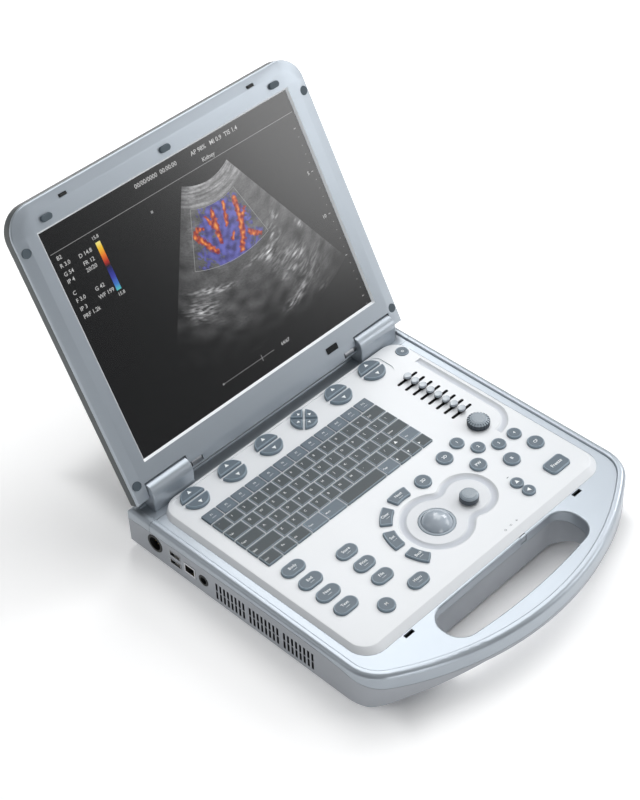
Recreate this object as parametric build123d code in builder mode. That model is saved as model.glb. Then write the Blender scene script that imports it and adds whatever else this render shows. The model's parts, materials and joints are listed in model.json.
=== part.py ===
from build123d import *
import os
from math import cos, sin, radians

# A portable ultrasound scanner that folds like a laptop computer: a base with the control panel
# and a carrying handle moulded into its front, and a lid with the display on two friction hinges.
# Millimetres, +Z up, +X to the user's right, -Y towards the user. Heights of the base's parts are
# given from its white deck, and lengths from a reference line just in front of the hinges.

# ---- overall sizes ----
half_width = 179.0        # middle of the base to its side, at the widest
nose_reach = 351.0        # reference line to the front of the handle
nose_radius = 290.0       # plan radius of the handle's front
nose_corner = 40.0        # plan radius where the front meets the sides
rear_reach = 9.0          # reference line to the back of the case
rear_corner = 12.0
case_depth = 45.5         # deck to the underside
foot_height = 3.5
wall = 2.5                # plastic wall of every casing
seam_gap = 0.4            # dark line between two casings
edge_roll = 5.0           # rounding of the silver case's upper edge
case_roll = 3.5           # rounding of the lower case's bottom edge
ridge_drop = 2.5          # deck to the raised edge of the silver case
rim_drop = 4.5            # deck to the silver surface beside the deck
ridge_width = 8.5
ridge_round = 1.8
bar_depth = 22.0          # deck to the underside of the handle bar
belly_reach = 284.0       # reference line to where the underside starts to rise

# ---- lid and hinge ----
open_angle = 118.4        # the lid as it stands, from closed
hinge_setback = -2.1      # hinge axis from the reference line
hinge_rise = 12.5         # hinge axis above the deck
lid_half_width = 178.0
lid_length = 287.5        # hinge axis to the lid's far edge
lid_tail = 5.0            # lid below the hinge axis
lid_face = 5.5            # hinge axis to the inner face
bezel_depth = 5.0
lid_thickness = 20.0
lid_corner = 27.0
lid_foot_corner = 12.5
face_slope = 12.0         # width of the bezel's sloped border
face_fall = 2.2           # and how far it falls to the rim
screen_width = 304.1      # a 15 inch 4:3 display
screen_height = 228.1
screen_start = 30.5       # hinge axis to the picture
glass_recess = 2.4
glass_thickness = 1.2
barrel_inner = 113.5      # middle to the near end of a hinge cover
barrel_outer = 163.0
barrel_radius = 10.5
barrel_gap = 0.7
pin_radius = 3.0
running_gap = 0.05
knuckle_radius = 4.6
knuckle_gap = 0.3
arm_inner = 96.0         # middle to the near end of a lid arm

# ---- control panel ----
panel_half_width = 162.7
panel_bevel = 4.2         # slope round the deck's edge
panel_front = 278.0       # reference line to the foot of the front slope
panel_front_bevel = 7.0
rear_panel_gap = 0.3      # hinge covers to the deck's rear edge
panel_rear = barrel_radius - hinge_setback + rear_panel_gap
panel_corner = 22.0
panel_thickness = 3.0
panel_gap = 0.4
groove_depth = 2.0
groove_half_width = 4.6
key_root = 4.0            # keys reach this far below the deck
key_rise = 2.0
key_travel = 2.0          # a key's stroke, with the rubber domes under it
key_seam = 1.3            # pitch less the key's own width
key_gap = 0.2             # key to the edge of its hole
button_rise = 2.4
button_gap = 0.3

# ---- handle opening ----
grip_half_length = 92.0
grip_rear = 281.0
grip_front = 327.0        # at the middle
grip_front_end = 319.5    # at the ends, before their rounding
grip_corner = 18.5

deck_height = foot_height + case_depth
lid_lean = radians(open_angle)
lid_back = lid_thickness - lid_face
lid_reach = -lid_length * cos(lid_lean) + lid_back * sin(lid_lean) + hinge_setback
reference_y = (nose_reach - lid_reach) / 2   # the origin is under the middle of the open scanner


def deck_plane(height):
    return Plane((0, reference_y, deck_height + height))


def side_plane(across=0.0):
    """Local x runs to the back from the reference line and local y up from the deck."""
    return Plane(origin=(across, reference_y, deck_height), x_dir=(0, 1, 0), z_dir=(1, 0, 0))


hinge_y = reference_y + hinge_setback
hinge_z = deck_height + hinge_rise


def lid_plane(height=0.0):
    """Local x is the scanner's, local y runs up the lid from the hinge axis, height is towards the user."""
    inward = (0, -sin(lid_lean), -cos(lid_lean))
    return Plane(origin=(0, hinge_y, hinge_z), x_dir=(1, 0, 0), z_dir=inward).offset(height)


pieces = {}

# ---- the base's outline and the seam between its two shells ----
with BuildSketch() as base_outline:
    with Locations((0, (rear_reach - nose_reach) / 2)):
        Rectangle(2 * half_width, nose_reach + rear_reach)
    with Locations((0, nose_radius - nose_reach)):
        Circle(nose_radius, mode=Mode.INTERSECT)
    corners = base_outline.vertices().filter_by(lambda v: abs(v.X) > half_width / 2).sort_by(Axis.Y)
    fillet(corners[:2], nose_corner)
    fillet(corners[2:], rear_corner)

with BuildSketch() as grip_outline:
    with BuildLine():
        front_edge = ThreePointArc(
            (-grip_half_length, -grip_front_end), (0, -grip_front), (grip_half_length, -grip_front_end)
        )
        Polyline(front_edge @ 0, (-grip_half_length, -grip_rear), (grip_half_length, -grip_rear), front_edge @ 1)
    make_face()
    fillet(grip_outline.vertices(), grip_corner)

# The seam climbs a little along each side and drops to the handle bar at the front.
with BuildPart() as below_seam:
    with BuildSketch(side_plane()):
        with BuildLine():
            seam = Spline(
                (rear_reach + 5, -15), (-25, -13), (-70, -11.5), (-130, -9.4), (-200, -8),
                (-245, -9), (-270, -12.2), (-290, -17), (-315, -19), (-nose_reach - 5, -19.5),
            )
            low = -case_depth - 5
            Polyline(seam @ 1, (-nose_reach - 5, low), (rear_reach + 5, low), seam @ 0)
        make_face()
    extrude(amount=half_width + 5, both=True)


def panel_outline(grow, inset=0.0):
    """The deck's plan: grow is outwards from the foot of its slope, inset is up the slope from 0 to 1."""
    half = panel_half_width + grow - inset * panel_bevel
    front = panel_front + grow - inset * panel_front_bevel
    rear = panel_rear - grow + inset * panel_bevel / 4
    with Locations((0, -(front + rear) / 2)):
        RectangleRounded(2 * half, front - rear, panel_corner + grow - inset * panel_bevel)


# ---- silver upper case, cut into the surround with its handle and the rear cap ----
ledge = 4.0               # shelf that the control panel lies on
rear_ledge = 15.2         # reference line to the shelf's edge behind the half-round keys
slot_reach = 281.2        # reference line to the lid hooks' slots
hook_spread = 114.6
release_x = 39.0
release_width = 7.2
cap_line = 20.8           # reference line to the joint with the rear cap
grip_rim = 1.8
with BuildPart() as upper_case:
    with BuildSketch(deck_plane(-bar_depth)):
        add(base_outline.sketch)
    extrude(amount=bar_depth - ridge_drop)
    fillet(upper_case.faces().sort_by(Axis.Z)[-1].edges(), edge_roll)
    with BuildSketch(deck_plane(-ridge_drop)):
        offset(base_outline.sketch, amount=-ridge_width)
    extrude(amount=ridge_drop - rim_drop, mode=Mode.SUBTRACT)
    border = upper_case.faces().filter_by(Axis.Z).sort_by(Axis.Z)[-1]
    fillet(border.inner_wires()[0].edges(), ridge_round)
    with BuildSketch(deck_plane(-bar_depth)):
        add(grip_outline.sketch)
    extrude(amount=bar_depth, mode=Mode.SUBTRACT)
    fillet(
        upper_case.edges().filter_by(lambda e: abs(e.center().Z - deck_height + rim_drop) < 0.01
                                     and abs(e.center().X) < grip_half_length + 1
                                     and e.center().Y < reference_y - grip_rear + 1
                                     and e.center().Y > reference_y - grip_front - 1),
        grip_rim,
    )
    # the room inside, round a wall along the handle opening
    with BuildSketch(deck_plane(-bar_depth - 1)):
        offset(base_outline.sketch, amount=-wall)
        offset(grip_outline.sketch, amount=wall, mode=Mode.SUBTRACT)
    extrude(amount=bar_depth + 1 - rim_drop - wall, mode=Mode.SUBTRACT)
    # the seat of the control panel and the opening under it
    with BuildSketch(deck_plane(-rim_drop - 0.2)):
        panel_outline(panel_gap)
    extrude(amount=rim_drop, mode=Mode.SUBTRACT)
    with BuildSketch(deck_plane(-bar_depth)):
        panel_outline(-ledge)
        with Locations((0, -(rear_ledge + 20) / 2)):
            Rectangle(2 * panel_half_width - 30, 20 - rear_ledge)
    extrude(amount=bar_depth, mode=Mode.SUBTRACT)
    add(below_seam.part, mode=Mode.SUBTRACT)

with BuildPart() as top_housing:
    add(upper_case.part)
    with BuildSketch(deck_plane(-case_depth)):
        with Locations((0, -cap_line + 50)):
            Rectangle(2 * half_width + 10, 100)
    extrude(amount=case_depth, mode=Mode.SUBTRACT)
    # slots for the lid's hooks, and the notch of the release button in the handle's rear wall
    with BuildSketch(deck_plane(-bar_depth)):
        with Locations((-hook_spread, -slot_reach), (hook_spread, -slot_reach)):
            Rectangle(11, 4)
    extrude(amount=bar_depth, mode=Mode.SUBTRACT)
    with BuildSketch(deck_plane(-12.4)):
        with Locations((release_x, -grip_rear + 2)):
            Rectangle(release_width + 0.8, 9)
    extrude(amount=bar_depth, mode=Mode.SUBTRACT)
pieces["top_housing"] = top_housing

with BuildPart() as rear_cap:
    add(upper_case.part)
    with BuildSketch(deck_plane(-case_depth)):
        with Locations((0, -cap_line + seam_gap - 250)):
            Rectangle(2 * half_width + 10, 500)
    extrude(amount=case_depth, mode=Mode.SUBTRACT)
    # flat seats for the hinge covers
    with BuildSketch(deck_plane(-rim_drop)):
        for side in (-1, 1):
            with Locations((side * (barrel_inner + barrel_outer) / 2, hinge_setback)):
                Rectangle(barrel_outer - barrel_inner + 0.4, 2 * barrel_radius + 0.4)
    extrude(amount=rim_drop, mode=Mode.SUBTRACT)
pieces["rear_cap"] = rear_cap

# ---- lower case: an open tray, its front underside rising to the handle bar ----
vent_length = 9.5
vent_width = 2.6
vent_pitch = 4.9
vent_count = 8
vent_group_pitch = 42.5
vent_rows = (-22.6, -33.2)     # row heights from the deck
vent_middle = -168.0           # middle of the vents from the reference line
socket_y = -26.5               # round multi-pin socket
socket_z = -24.0
socket_radius = 9.6
usb_y = -53.7
usb_z = (-21.2, -31.4)
usb_width = 14.6
usb_height = 6.0
lan_y = -73.0
lan_z = -26.3
lan_width = 14.8
lan_height = 12.4
video_y = -91.0
video_z = -26.5
video_radius = 6.0
probe_y = -105.0               # transducer socket, right side
probe_z = -27.0
probe_width = 62.0
probe_height = 24.0
power_x = -95.0                # power inlet, back
power_z = -27.0
power_width = 26.0
power_height = 18.0
port_gap = 0.3
screw_spots = [(-140, -166), (140, -166), (-140, -246), (140, -246), (0, -162), (0, -252), (102, -20), (-157, -140)]
screw_radius = 1.5
screw_head_radius = 2.8
screw_head_height = 1.8
screw_sink = 1.0
screw_length = 14.0
boss_radius = 4.5
boss_drop = 10.6               # deck to the bosses' tops, which carry the key plate
standoff_spots = [(-140, -35), (85, -35), (-140, -150), (85, -150)]
board_drop = 36.0              # deck to the underside of the main board
latch_reach = 268.0            # reference line to the latch bar
latch_drop = 11.0              # deck to the latch bar's underside
battery_length = 190.0
battery_width = 74.0
battery_y = -206.0


def belly_wedge(drop):
    """What is cut away under the nose, from the belly line at the underside up to the handle bar."""
    with BuildPart() as wedge:
        with BuildSketch(side_plane()):
            with BuildLine():
                Polyline(
                    (-belly_reach, -case_depth + drop), (-nose_reach + 12, -bar_depth + drop - 1.2),
                    (-nose_reach - 10, -bar_depth + drop - 1.2), (-nose_reach - 10, -case_depth - 10),
                    (-belly_reach, -case_depth - 10), close=True,
                )
            make_face()
        extrude(amount=half_width + 10, both=True)
    return wedge.part


with BuildPart() as tray_room:
    with BuildSketch(deck_plane(-case_depth + wall)):
        offset(base_outline.sketch, amount=-wall)
        offset(grip_outline.sketch, amount=wall, mode=Mode.SUBTRACT)
    extrude(amount=case_depth)
    add(belly_wedge(wall), mode=Mode.SUBTRACT)

with BuildPart() as lower_case:
    with BuildSketch(deck_plane(-case_depth)):
        add(base_outline.sketch)
        add(grip_outline.sketch, mode=Mode.SUBTRACT)
    extrude(amount=case_depth)
    add(belly_wedge(0), mode=Mode.SUBTRACT)
    underside = lower_case.edges().filter_by(
        lambda e: abs(e.center().Z - deck_height + case_depth) < 0.01
        and (abs(e.center().X) > half_width - 20 or e.center().Y > reference_y)
        and e.center().Y > reference_y - belly_reach + 3
    )
    fillet(underside, case_roll)
    add(tray_room.part, mode=Mode.SUBTRACT)
    add(below_seam.part.moved(Location((0, 0, -seam_gap))), mode=Mode.INTERSECT)
    # screw bosses under the key plate, stand-offs for the board and posts for the latch bar
    floor = deck_plane(-case_depth + wall)
    with BuildSketch(floor):
        with Locations(*screw_spots):
            Circle(boss_radius)
    extrude(amount=case_depth - wall - boss_drop)
    with BuildSketch(floor):
        with Locations(*standoff_spots):
            Circle(3.0)
    extrude(amount=case_depth - wall - board_drop)
    with BuildSketch(floor):
        with Locations(*[(x, -latch_reach) for x in (-60, 60)]):
            Rectangle(8, 6)
    extrude(amount=case_depth - wall - latch_drop - 0.3)
    with BuildSketch(deck_plane(-case_depth)):
        with Locations(*screw_spots):
            Circle(screw_radius + 0.1)
    extrude(amount=screw_length + screw_sink, mode=Mode.SUBTRACT)
    with BuildSketch(deck_plane(-case_depth)):
        with Locations(*screw_spots):
            Circle(screw_head_radius + 0.3)
    extrude(amount=screw_sink + screw_head_height, mode=Mode.SUBTRACT)
    # cooling slots in both sides
    for side in (-1, 1):
        with BuildSketch(side_plane(side * (half_width - wall / 2))):
            for row in vent_rows:
                for group in (-1, 0, 1):
                    if side == 1 and group == 1:
                        continue
                    with Locations((vent_middle + group * vent_group_pitch, row)):
                        with GridLocations(vent_pitch, 1, vent_count, 1):
                            Rectangle(vent_width, vent_length)
        extrude(amount=wall, both=True, mode=Mode.SUBTRACT)
    # windows for the sockets on the left side
    with BuildSketch(side_plane(-half_width + wall / 2)):
        with Locations((socket_y, socket_z)):
            Circle(socket_radius + port_gap)
        with Locations(*[(usb_y, z) for z in usb_z]):
            Rectangle(usb_width + 2 * port_gap, usb_height + 2 * port_gap)
        with Locations((lan_y, lan_z)):
            Rectangle(lan_width + 2 * port_gap, lan_height + 2 * port_gap)
        with Locations((video_y, video_z)):
            Circle(video_radius + port_gap)
    extrude(amount=wall, both=True, mode=Mode.SUBTRACT)
    # the transducer socket's window on the right side
    with BuildSketch(side_plane(half_width - wall / 2)):
        with Locations((probe_y, probe_z)):
            RectangleRounded(probe_width + 2 * port_gap, probe_height + 2 * port_gap, 4 + port_gap)
    extrude(amount=wall, both=True, mode=Mode.SUBTRACT)
    # the power inlet's window at the back
    with BuildSketch(Plane.XZ.offset(-reference_y - rear_reach + wall / 2)):
        with Locations((power_x, deck_height + power_z)):
            Rectangle(power_width + 2 * port_gap, power_height + 2 * port_gap)
    extrude(amount=wall, both=True, mode=Mode.SUBTRACT)
    # the battery bay's opening in the floor
    with BuildSketch(deck_plane(-case_depth - 1)):
        with Locations((0, battery_y)):
            RectangleRounded(battery_length + 2 * port_gap, battery_width + 2 * port_gap, 4)
    extrude(amount=wall + 2, mode=Mode.SUBTRACT)
pieces["lower_case"] = lower_case

# ---- where the controls stand on the deck, from its middle and the reference line ----
keyboard_left = -144.1
keyboard_rear = -51.7
row_pitch = 15.0
key_pitch = 15.2
key_corner = 1.2
first_row = [18.3] * 11 + [17.9]
second_row = [key_pitch] * 13 + [21.6]
third_row = [22.8] + [key_pitch] * 12 + [14.0]
fourth_row = [26.6] + [key_pitch] * 11 + [25.4]
fifth_row = [34.2] + [key_pitch] * 11 + [17.8]
sixth_row = [18.5, 18.5, 18.5, 22.0, 24.0, 53.3, 18.8] + [key_pitch] * 3
keyboard = [first_row, second_row, third_row, fourth_row, fifth_row, sixth_row]

soft_start = -129.5       # first pair of half-round keys
soft_pitch = 47.74
soft_y = -29.7
soft_radius = 13.7
half_split = 1.8          # middle of a pair to each half's straight side
soft_pairs = (0, 1, 2, 4, 5)
cursor_x = soft_start + 3 * soft_pitch
cursor_radius = 13.2
cursor_split = 1.3

power_key = (150.8, -32.4)
power_key_radius = 6.6
ball_x = -2.0
ball_y = -213.5
ball_radius = 16.0
ball_window = 14.4        # radius of the ring's opening
ring_radius = 17.5
ring_drop = 0.4           # deck to the ring's top
arc_key_inner = 40.2
arc_key_outer = 52.0
arc_key_first = 90.6      # degrees from +X
arc_key_step = 36.7
arc_key_span = 26.6
select_x = 38.5
select_y = -216.6
select_radius = 9.2
gain_x = 121.0
gain_y = -157.5
gain_radius = 11.2
knob_top = 8.0
knob_foot = 0.5
stem_radius = 3.0
slider_x = 123.8
slider_first = -64.0
slider_pitch = 10.0
slider_count = 8
slider_slot = 26.8
oval_length = 24.8
oval_width = 14.6
outer_ovals = [(-131.3, -158.8 - 21.37 * i) for i in range(4)]
inner_ovals = [(-84.9, -179.9 - 21.5 * i) for i in range(3)] + [(-67.4, -249.6)]
short_oval = 22.2
large_radius = 8.2
large_rounds = [(26.8, -170.9), (63.5, -165.1), (78.0, -194.1), (104.7, -212.2), (137.2, -214.2), (-107.1, -248.2)]
small_radius = 7.0
small_rounds = [(86.4, -160.5), (95.5, -178.9), (112.1, -190.2), (132.8, -191.7)]
pair_radius = 6.4
pair_rounds = [(83.5, -235.9), (83.4, -250.1)]
freeze_at = (127.0, -247.2)
freeze_length = 25.2
freeze_width = 16.4
freeze_corner = 4.5


def key_boxes(row):
    """Centre and width of each key of a keyboard row."""
    x = keyboard_left
    for width in keyboard[row]:
        yield x + width / 2, keyboard_rear - (row + 0.5) * row_pitch, width
        x += width


def draw_row(row, grow=0.0):
    for x, y, width in key_boxes(row):
        with Locations((x, y)):
            RectangleRounded(width - key_seam + 2 * grow, row_pitch - key_seam + 2 * grow, key_corner + grow)


def draw_halves(side, grow=0.0):
    """The rear (side 1) or front (side -1) half of every half-round pair."""
    for pair in soft_pairs:
        with BuildSketch() as half:
            Circle(soft_radius + grow)
            with Locations((0, side * (half_split - grow - soft_radius * 2))):
                Rectangle(4 * soft_radius, 4 * soft_radius, mode=Mode.SUBTRACT)
        with Locations((soft_start + pair * soft_pitch, soft_y)):
            add(half.sketch)


def draw_cursor(grow=0.0):
    """Four quarter-round cursor keys, split along the diagonals."""
    with BuildSketch() as quarters:
        Circle(cursor_radius + grow)
        with Locations(Rotation(0, 0, 45), Rotation(0, 0, -45)):
            Rectangle(4 * cursor_radius, 2 * (cursor_split - grow), mode=Mode.SUBTRACT)
    with Locations((cursor_x, soft_y)):
        add(quarters.sketch)


def draw_arc_keys(grow=0.0):
    """Keys curved round the trackball."""
    for key in range(4):
        middle = radians(arc_key_first + key * arc_key_step)
        half = radians(arc_key_span / 2) + grow / arc_key_outer
        inner, outer = arc_key_inner - grow, arc_key_outer + grow

        def spot(radius, angle):
            return ball_x + radius * cos(angle), ball_y + radius * sin(angle)

        with BuildSketch() as curved:
            with BuildLine():
                outside = ThreePointArc(spot(outer, middle - half), spot(outer, middle), spot(outer, middle + half))
                inside = ThreePointArc(spot(inner, middle - half), spot(inner, middle), spot(inner, middle + half))
                Line(outside @ 0, inside @ 0)
                Line(outside @ 1, inside @ 1)
            make_face()
            fillet(curved.vertices(), 1.6 + grow)
        add(curved.sketch)


def draw_ovals(grow=0.0):
    with Locations(*outer_ovals):
        SlotOverall(oval_length + 2 * grow, oval_width + 2 * grow)
    with Locations(*inner_ovals):
        SlotOverall(short_oval + 2 * grow, oval_width - 0.4 + 2 * grow)


def draw_rounds(spots, radius, grow=0.0):
    with Locations(*spots):
        Circle(radius + grow)


def draw_freeze(grow=0.0):
    with Locations(freeze_at):
        RectangleRounded(freeze_length + 2 * grow, freeze_width + 2 * grow, freeze_corner + grow)


# ---- control panel: the white deck ----
strip_depth = 0.8         # the half-round keys' strip lies this deep
strip_front = 46.5
strip_right = 128.0
strip_corner = 8.0
peanut_lobe = 31.0        # groove round the trackball
peanut_small_lobe = 24.0  # and round the small knob
small_lobe_at = (42.0, -212.0)
peanut_neck = 12.0
dish_drop = 0.8           # floor inside the groove
scoop_x = 151.6           # groove beside the sliders
scoop_start = -52.0
scoop_turn = -152.0
scoop_radius = 25.6
scoop_half_width = 4.0
scoop_depth = 1.8
section_radius = (groove_half_width ** 2 + groove_depth ** 2) / (2 * groove_depth)
scoop_section = (scoop_half_width ** 2 + scoop_depth ** 2) / (2 * scoop_depth)
encoder_neck = 4.6

with BuildSketch() as peanut:
    with Locations((ball_x, ball_y)):
        Circle(peanut_lobe)
    with Locations(small_lobe_at):
        Circle(peanut_small_lobe)
    fillet(peanut.vertices(), peanut_neck)
peanut_wire = peanut.face().outer_wire()

with BuildPart() as control_panel:
    with BuildSketch(deck_plane(-rim_drop)):
        panel_outline(0)
    with BuildSketch(deck_plane(0)):
        panel_outline(0, inset=1)
    loft(ruled=True)
    fillet(control_panel.faces().sort_by(Axis.Z)[-1].edges(), 1.2)
    with BuildSketch(deck_plane(-rim_drop)):
        panel_outline(-8)
    extrude(amount=rim_drop - panel_thickness, mode=Mode.SUBTRACT)
    with BuildSketch(deck_plane(-strip_depth)):
        strip_left = -panel_half_width + panel_bevel + 9
        with Locations(((strip_left + strip_right) / 2, -(panel_rear + 4 + strip_front) / 2)):
            RectangleRounded(strip_right - strip_left, strip_front - panel_rear - 4, strip_corner)
    extrude(amount=strip_depth + 1, mode=Mode.SUBTRACT)
    with BuildSketch(deck_plane(-dish_drop)):
        add(peanut.sketch)
    extrude(amount=dish_drop + 1, mode=Mode.SUBTRACT)
    # the groove round the trackball and the small knob, cut arc by arc
    centre_height = section_radius - groove_depth
    for arc in peanut_wire.edges():
        groove_line = arc.moved(deck_plane(centre_height).location)
        with BuildSketch(Plane(origin=groove_line @ 0, z_dir=groove_line % 0)):
            Circle(section_radius)
        sweep(path=groove_line, mode=Mode.SUBTRACT)
    # the scoop beside the sliders
    with BuildLine(deck_plane(scoop_section - scoop_depth)) as scoop_path:
        run = Line((scoop_x, scoop_start), (scoop_x, scoop_turn))
        TangentArc(run @ 1, (scoop_x - scoop_radius, scoop_turn - scoop_radius), tangent=run % 1)
    with BuildSketch(Plane(origin=scoop_path.wire() @ 0, z_dir=scoop_path.wire() % 0)):
        Circle(scoop_section)
    sweep(path=scoop_path.wire(), mode=Mode.SUBTRACT)
    # every key, knob and slider has its own hole
    with BuildSketch(deck_plane(-rim_drop - 1)):
        for row in range(len(keyboard)):
            draw_row(row, key_gap)
        draw_halves(1, button_gap)
        draw_halves(-1, button_gap)
        draw_cursor(button_gap)
        draw_arc_keys(button_gap)
        draw_ovals(button_gap)
        draw_rounds(large_rounds, large_radius, button_gap)
        draw_rounds(small_rounds, small_radius, button_gap)
        draw_rounds(pair_rounds, pair_radius, button_gap)
        draw_rounds([power_key], power_key_radius, button_gap)
        draw_freeze(button_gap)
        with Locations((ball_x, ball_y)):
            Circle(ring_radius + 0.2)
        with Locations((select_x, select_y), (gain_x, gain_y)):
            Circle(encoder_neck + 0.2)
        with Locations(*[(slider_x, slider_first - i * slider_pitch) for i in range(slider_count)]):
            SlotOverall(slider_slot, 2.0)
    extrude(amount=rim_drop + 2, mode=Mode.SUBTRACT)
pieces["control_panel"] = control_panel


def key_piece(draw, rise, edge):
    """Solid keys of one plan, from their roots to their tops."""
    with BuildPart() as keys:
        with BuildSketch(deck_plane(-key_root)):
            draw()
        extrude(amount=key_root + rise)
        chamfer(keys.faces().filter_by(Axis.Z).group_by(Axis.Z)[-1].edges(), edge)
    return keys


# ---- keyboard, one node for each row ----
row_names = ["function_row", "number_row", "upper_letter_row", "middle_letter_row", "lower_letter_row", "space_row"]
for row, row_name in enumerate(row_names):
    pieces[row_name] = key_piece(lambda: draw_row(row), key_rise, 0.5)

# ---- function keys of each shape ----
pieces["soft_keys_rear"] = key_piece(lambda: draw_halves(1), button_rise, 0.6)
pieces["soft_keys_front"] = key_piece(lambda: draw_halves(-1), button_rise, 0.6)
pieces["cursor_keys"] = key_piece(draw_cursor, button_rise, 0.6)
pieces["arc_keys"] = key_piece(draw_arc_keys, button_rise, 0.6)
pieces["oval_keys"] = key_piece(draw_ovals, button_rise, 0.6)
pieces["large_round_keys"] = key_piece(lambda: draw_rounds(large_rounds, large_radius), button_rise, 0.6)
pieces["small_round_keys"] = key_piece(lambda: draw_rounds(small_rounds, small_radius), button_rise, 0.6)
pieces["adjust_keys"] = key_piece(lambda: draw_rounds(pair_rounds, pair_radius), button_rise, 0.6)
pieces["power_key"] = key_piece(lambda: draw_rounds([power_key], power_key_radius), button_rise - 1.4, 0.4)
pieces["freeze_key"] = key_piece(draw_freeze, button_rise, 0.6)

# ---- trackball: ball, ring and the cup with its rollers' housing ----
cup_gap = 0.3
cup_wall = 2.0
ball_z = -ring_drop - (ball_radius ** 2 - ball_window ** 2) ** 0.5
cup_floor = ball_z - ball_radius - cup_gap - cup_wall
ball_centre = (ball_x, reference_y + ball_y, deck_height + ball_z)
with BuildPart() as trackball:
    with Locations(ball_centre):
        Sphere(ball_radius)
pieces["trackball"] = trackball

with BuildPart() as trackball_ring:
    with BuildSketch(deck_plane(-panel_thickness)):
        with Locations((ball_x, ball_y)):
            Circle(ring_radius)
            Circle(ball_window + 0.4, mode=Mode.SUBTRACT)
    extrude(amount=panel_thickness - ring_drop)
    with Locations(ball_centre):
        Sphere(ball_radius + cup_gap, mode=Mode.SUBTRACT)
    chamfer(trackball_ring.faces().sort_by(Axis.Z)[-1].edges().sort_by(SortBy.LENGTH)[-1], 0.8)
pieces["trackball_ring"] = trackball_ring

with BuildPart() as trackball_cup:
    with BuildSketch(deck_plane(cup_floor)):
        with Locations((ball_x, ball_y)):
            Circle(ring_radius + 2.5)
    extrude(amount=-panel_thickness - cup_floor)
    with Locations(ball_centre):
        Sphere(ball_radius + cup_gap, mode=Mode.SUBTRACT)
    with BuildSketch(deck_plane(ball_z)):
        with Locations((ball_x, ball_y)):
            Circle(ball_radius + cup_gap)
    extrude(amount=-panel_thickness - ball_z, mode=Mode.SUBTRACT)
pieces["trackball_cup"] = trackball_cup


# ---- rotary knobs on their encoders ----
encoder_top = -panel_thickness - 0.3
encoder_depth = 8.0
encoder_width = 15.0
stem_foot = encoder_top - encoder_depth + 1.5


def knob(x, y, radius, ribs):
    with BuildPart() as turned:
        with BuildSketch(deck_plane(knob_foot)):
            with Locations((x, y)):
                Circle(radius)
        extrude(amount=knob_top - knob_foot)
        chamfer(turned.faces().sort_by(Axis.Z)[-1].edges(), 0.9)
        if ribs:
            with BuildSketch(deck_plane(knob_foot)):
                with Locations((x, y)):
                    with PolarLocations(radius + 0.35, ribs):
                        Circle(1.05)
            extrude(amount=knob_top, mode=Mode.SUBTRACT)
        with BuildSketch(deck_plane(stem_foot)):
            with Locations((x, y)):
                Circle(stem_radius)
        extrude(amount=knob_foot - stem_foot)
    return turned


pieces["gain_knob"] = knob(gain_x, gain_y, gain_radius, 20)
pieces["select_knob"] = knob(select_x, select_y, select_radius, 0)

with BuildPart() as encoders:
    with BuildSketch(deck_plane(encoder_top - encoder_depth)):
        with Locations((gain_x, gain_y), (select_x, select_y)):
            Rectangle(encoder_width, encoder_width)
    extrude(amount=encoder_depth)
    with BuildSketch(deck_plane(encoder_top)):
        with Locations((gain_x, gain_y), (select_x, select_y)):
            Circle(encoder_neck)
    extrude(amount=-encoder_top - dish_drop - 0.1)
    with BuildSketch(deck_plane(stem_foot - 0.3)):
        with Locations((gain_x, gain_y), (select_x, select_y)):
            Circle(stem_radius + running_gap)
    extrude(amount=40, mode=Mode.SUBTRACT)
pieces["encoders"] = encoders

# ---- time gain sliders and their tracks ----
lever_foot = -9.0
slider_names = []
for i in range(slider_count):
    with BuildPart() as slider:
        at = (slider_x, slider_first - i * slider_pitch)
        with BuildSketch(deck_plane(lever_foot)):
            with Locations(at):
                Rectangle(3.6, 1.2)
        extrude(amount=knob_foot - lever_foot)
        with BuildSketch(deck_plane(knob_foot)):
            with Locations(at):
                Rectangle(6.4, 4.6)
        extrude(amount=2.6, taper=-4)
        with BuildSketch(deck_plane(knob_foot + 2.6)):
            with Locations(at):
                Ellipse(4.3, 3.5)
        extrude(amount=2.2)
        fillet(slider.faces().sort_by(Axis.Z)[-1].edges(), 0.7)
    pieces[f"gain_slider_{i + 1}"] = slider

track_margin = 5.0
with BuildPart() as slider_tracks:
    middle_y = slider_first - (slider_count - 1) * slider_pitch / 2
    with BuildSketch(deck_plane(lever_foot - 1.5)):
        with Locations((slider_x, middle_y)):
            Rectangle(slider_slot + 2 * track_margin, slider_count * slider_pitch)
    extrude(amount=-panel_thickness - 0.1 - lever_foot + 1.5)
    with BuildSketch(deck_plane(lever_foot - 0.3)):
        with Locations(*[(slider_x, slider_first - i * slider_pitch) for i in range(slider_count)]):
            Rectangle(slider_slot, 2.0)
    extrude(amount=20, mode=Mode.SUBTRACT)
pieces["slider_tracks"] = slider_tracks

# ---- rubber dome mat and the steel plate under the keys ----
dome_height = 1.9
mat_top = -key_root - key_travel - 0.3 - dome_height
mat_thickness = 1.0
plate_thickness = 1.2
dome_radius = 2.3
plate_margin = 6.0
plate_front = 262.0


def draw_plate():
    """The plate's plan with its cut-outs for the trackball, encoders and slider tracks."""
    with Locations((0, -(plate_front + panel_rear + plate_margin) / 2)):
        RectangleRounded(2 * (panel_half_width - plate_margin), plate_front - panel_rear - plate_margin, 8)
    with Locations((ball_x, ball_y)):
        Circle(ring_radius + 3.0, mode=Mode.SUBTRACT)
    with Locations((gain_x, gain_y), (select_x, select_y)):
        Rectangle(encoder_width + 1, encoder_width + 1, mode=Mode.SUBTRACT)
    with Locations((slider_x, middle_y)):
        Rectangle(
            slider_slot + 2 * track_margin + 1, slider_count * slider_pitch + 1, mode=Mode.SUBTRACT
        )


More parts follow.
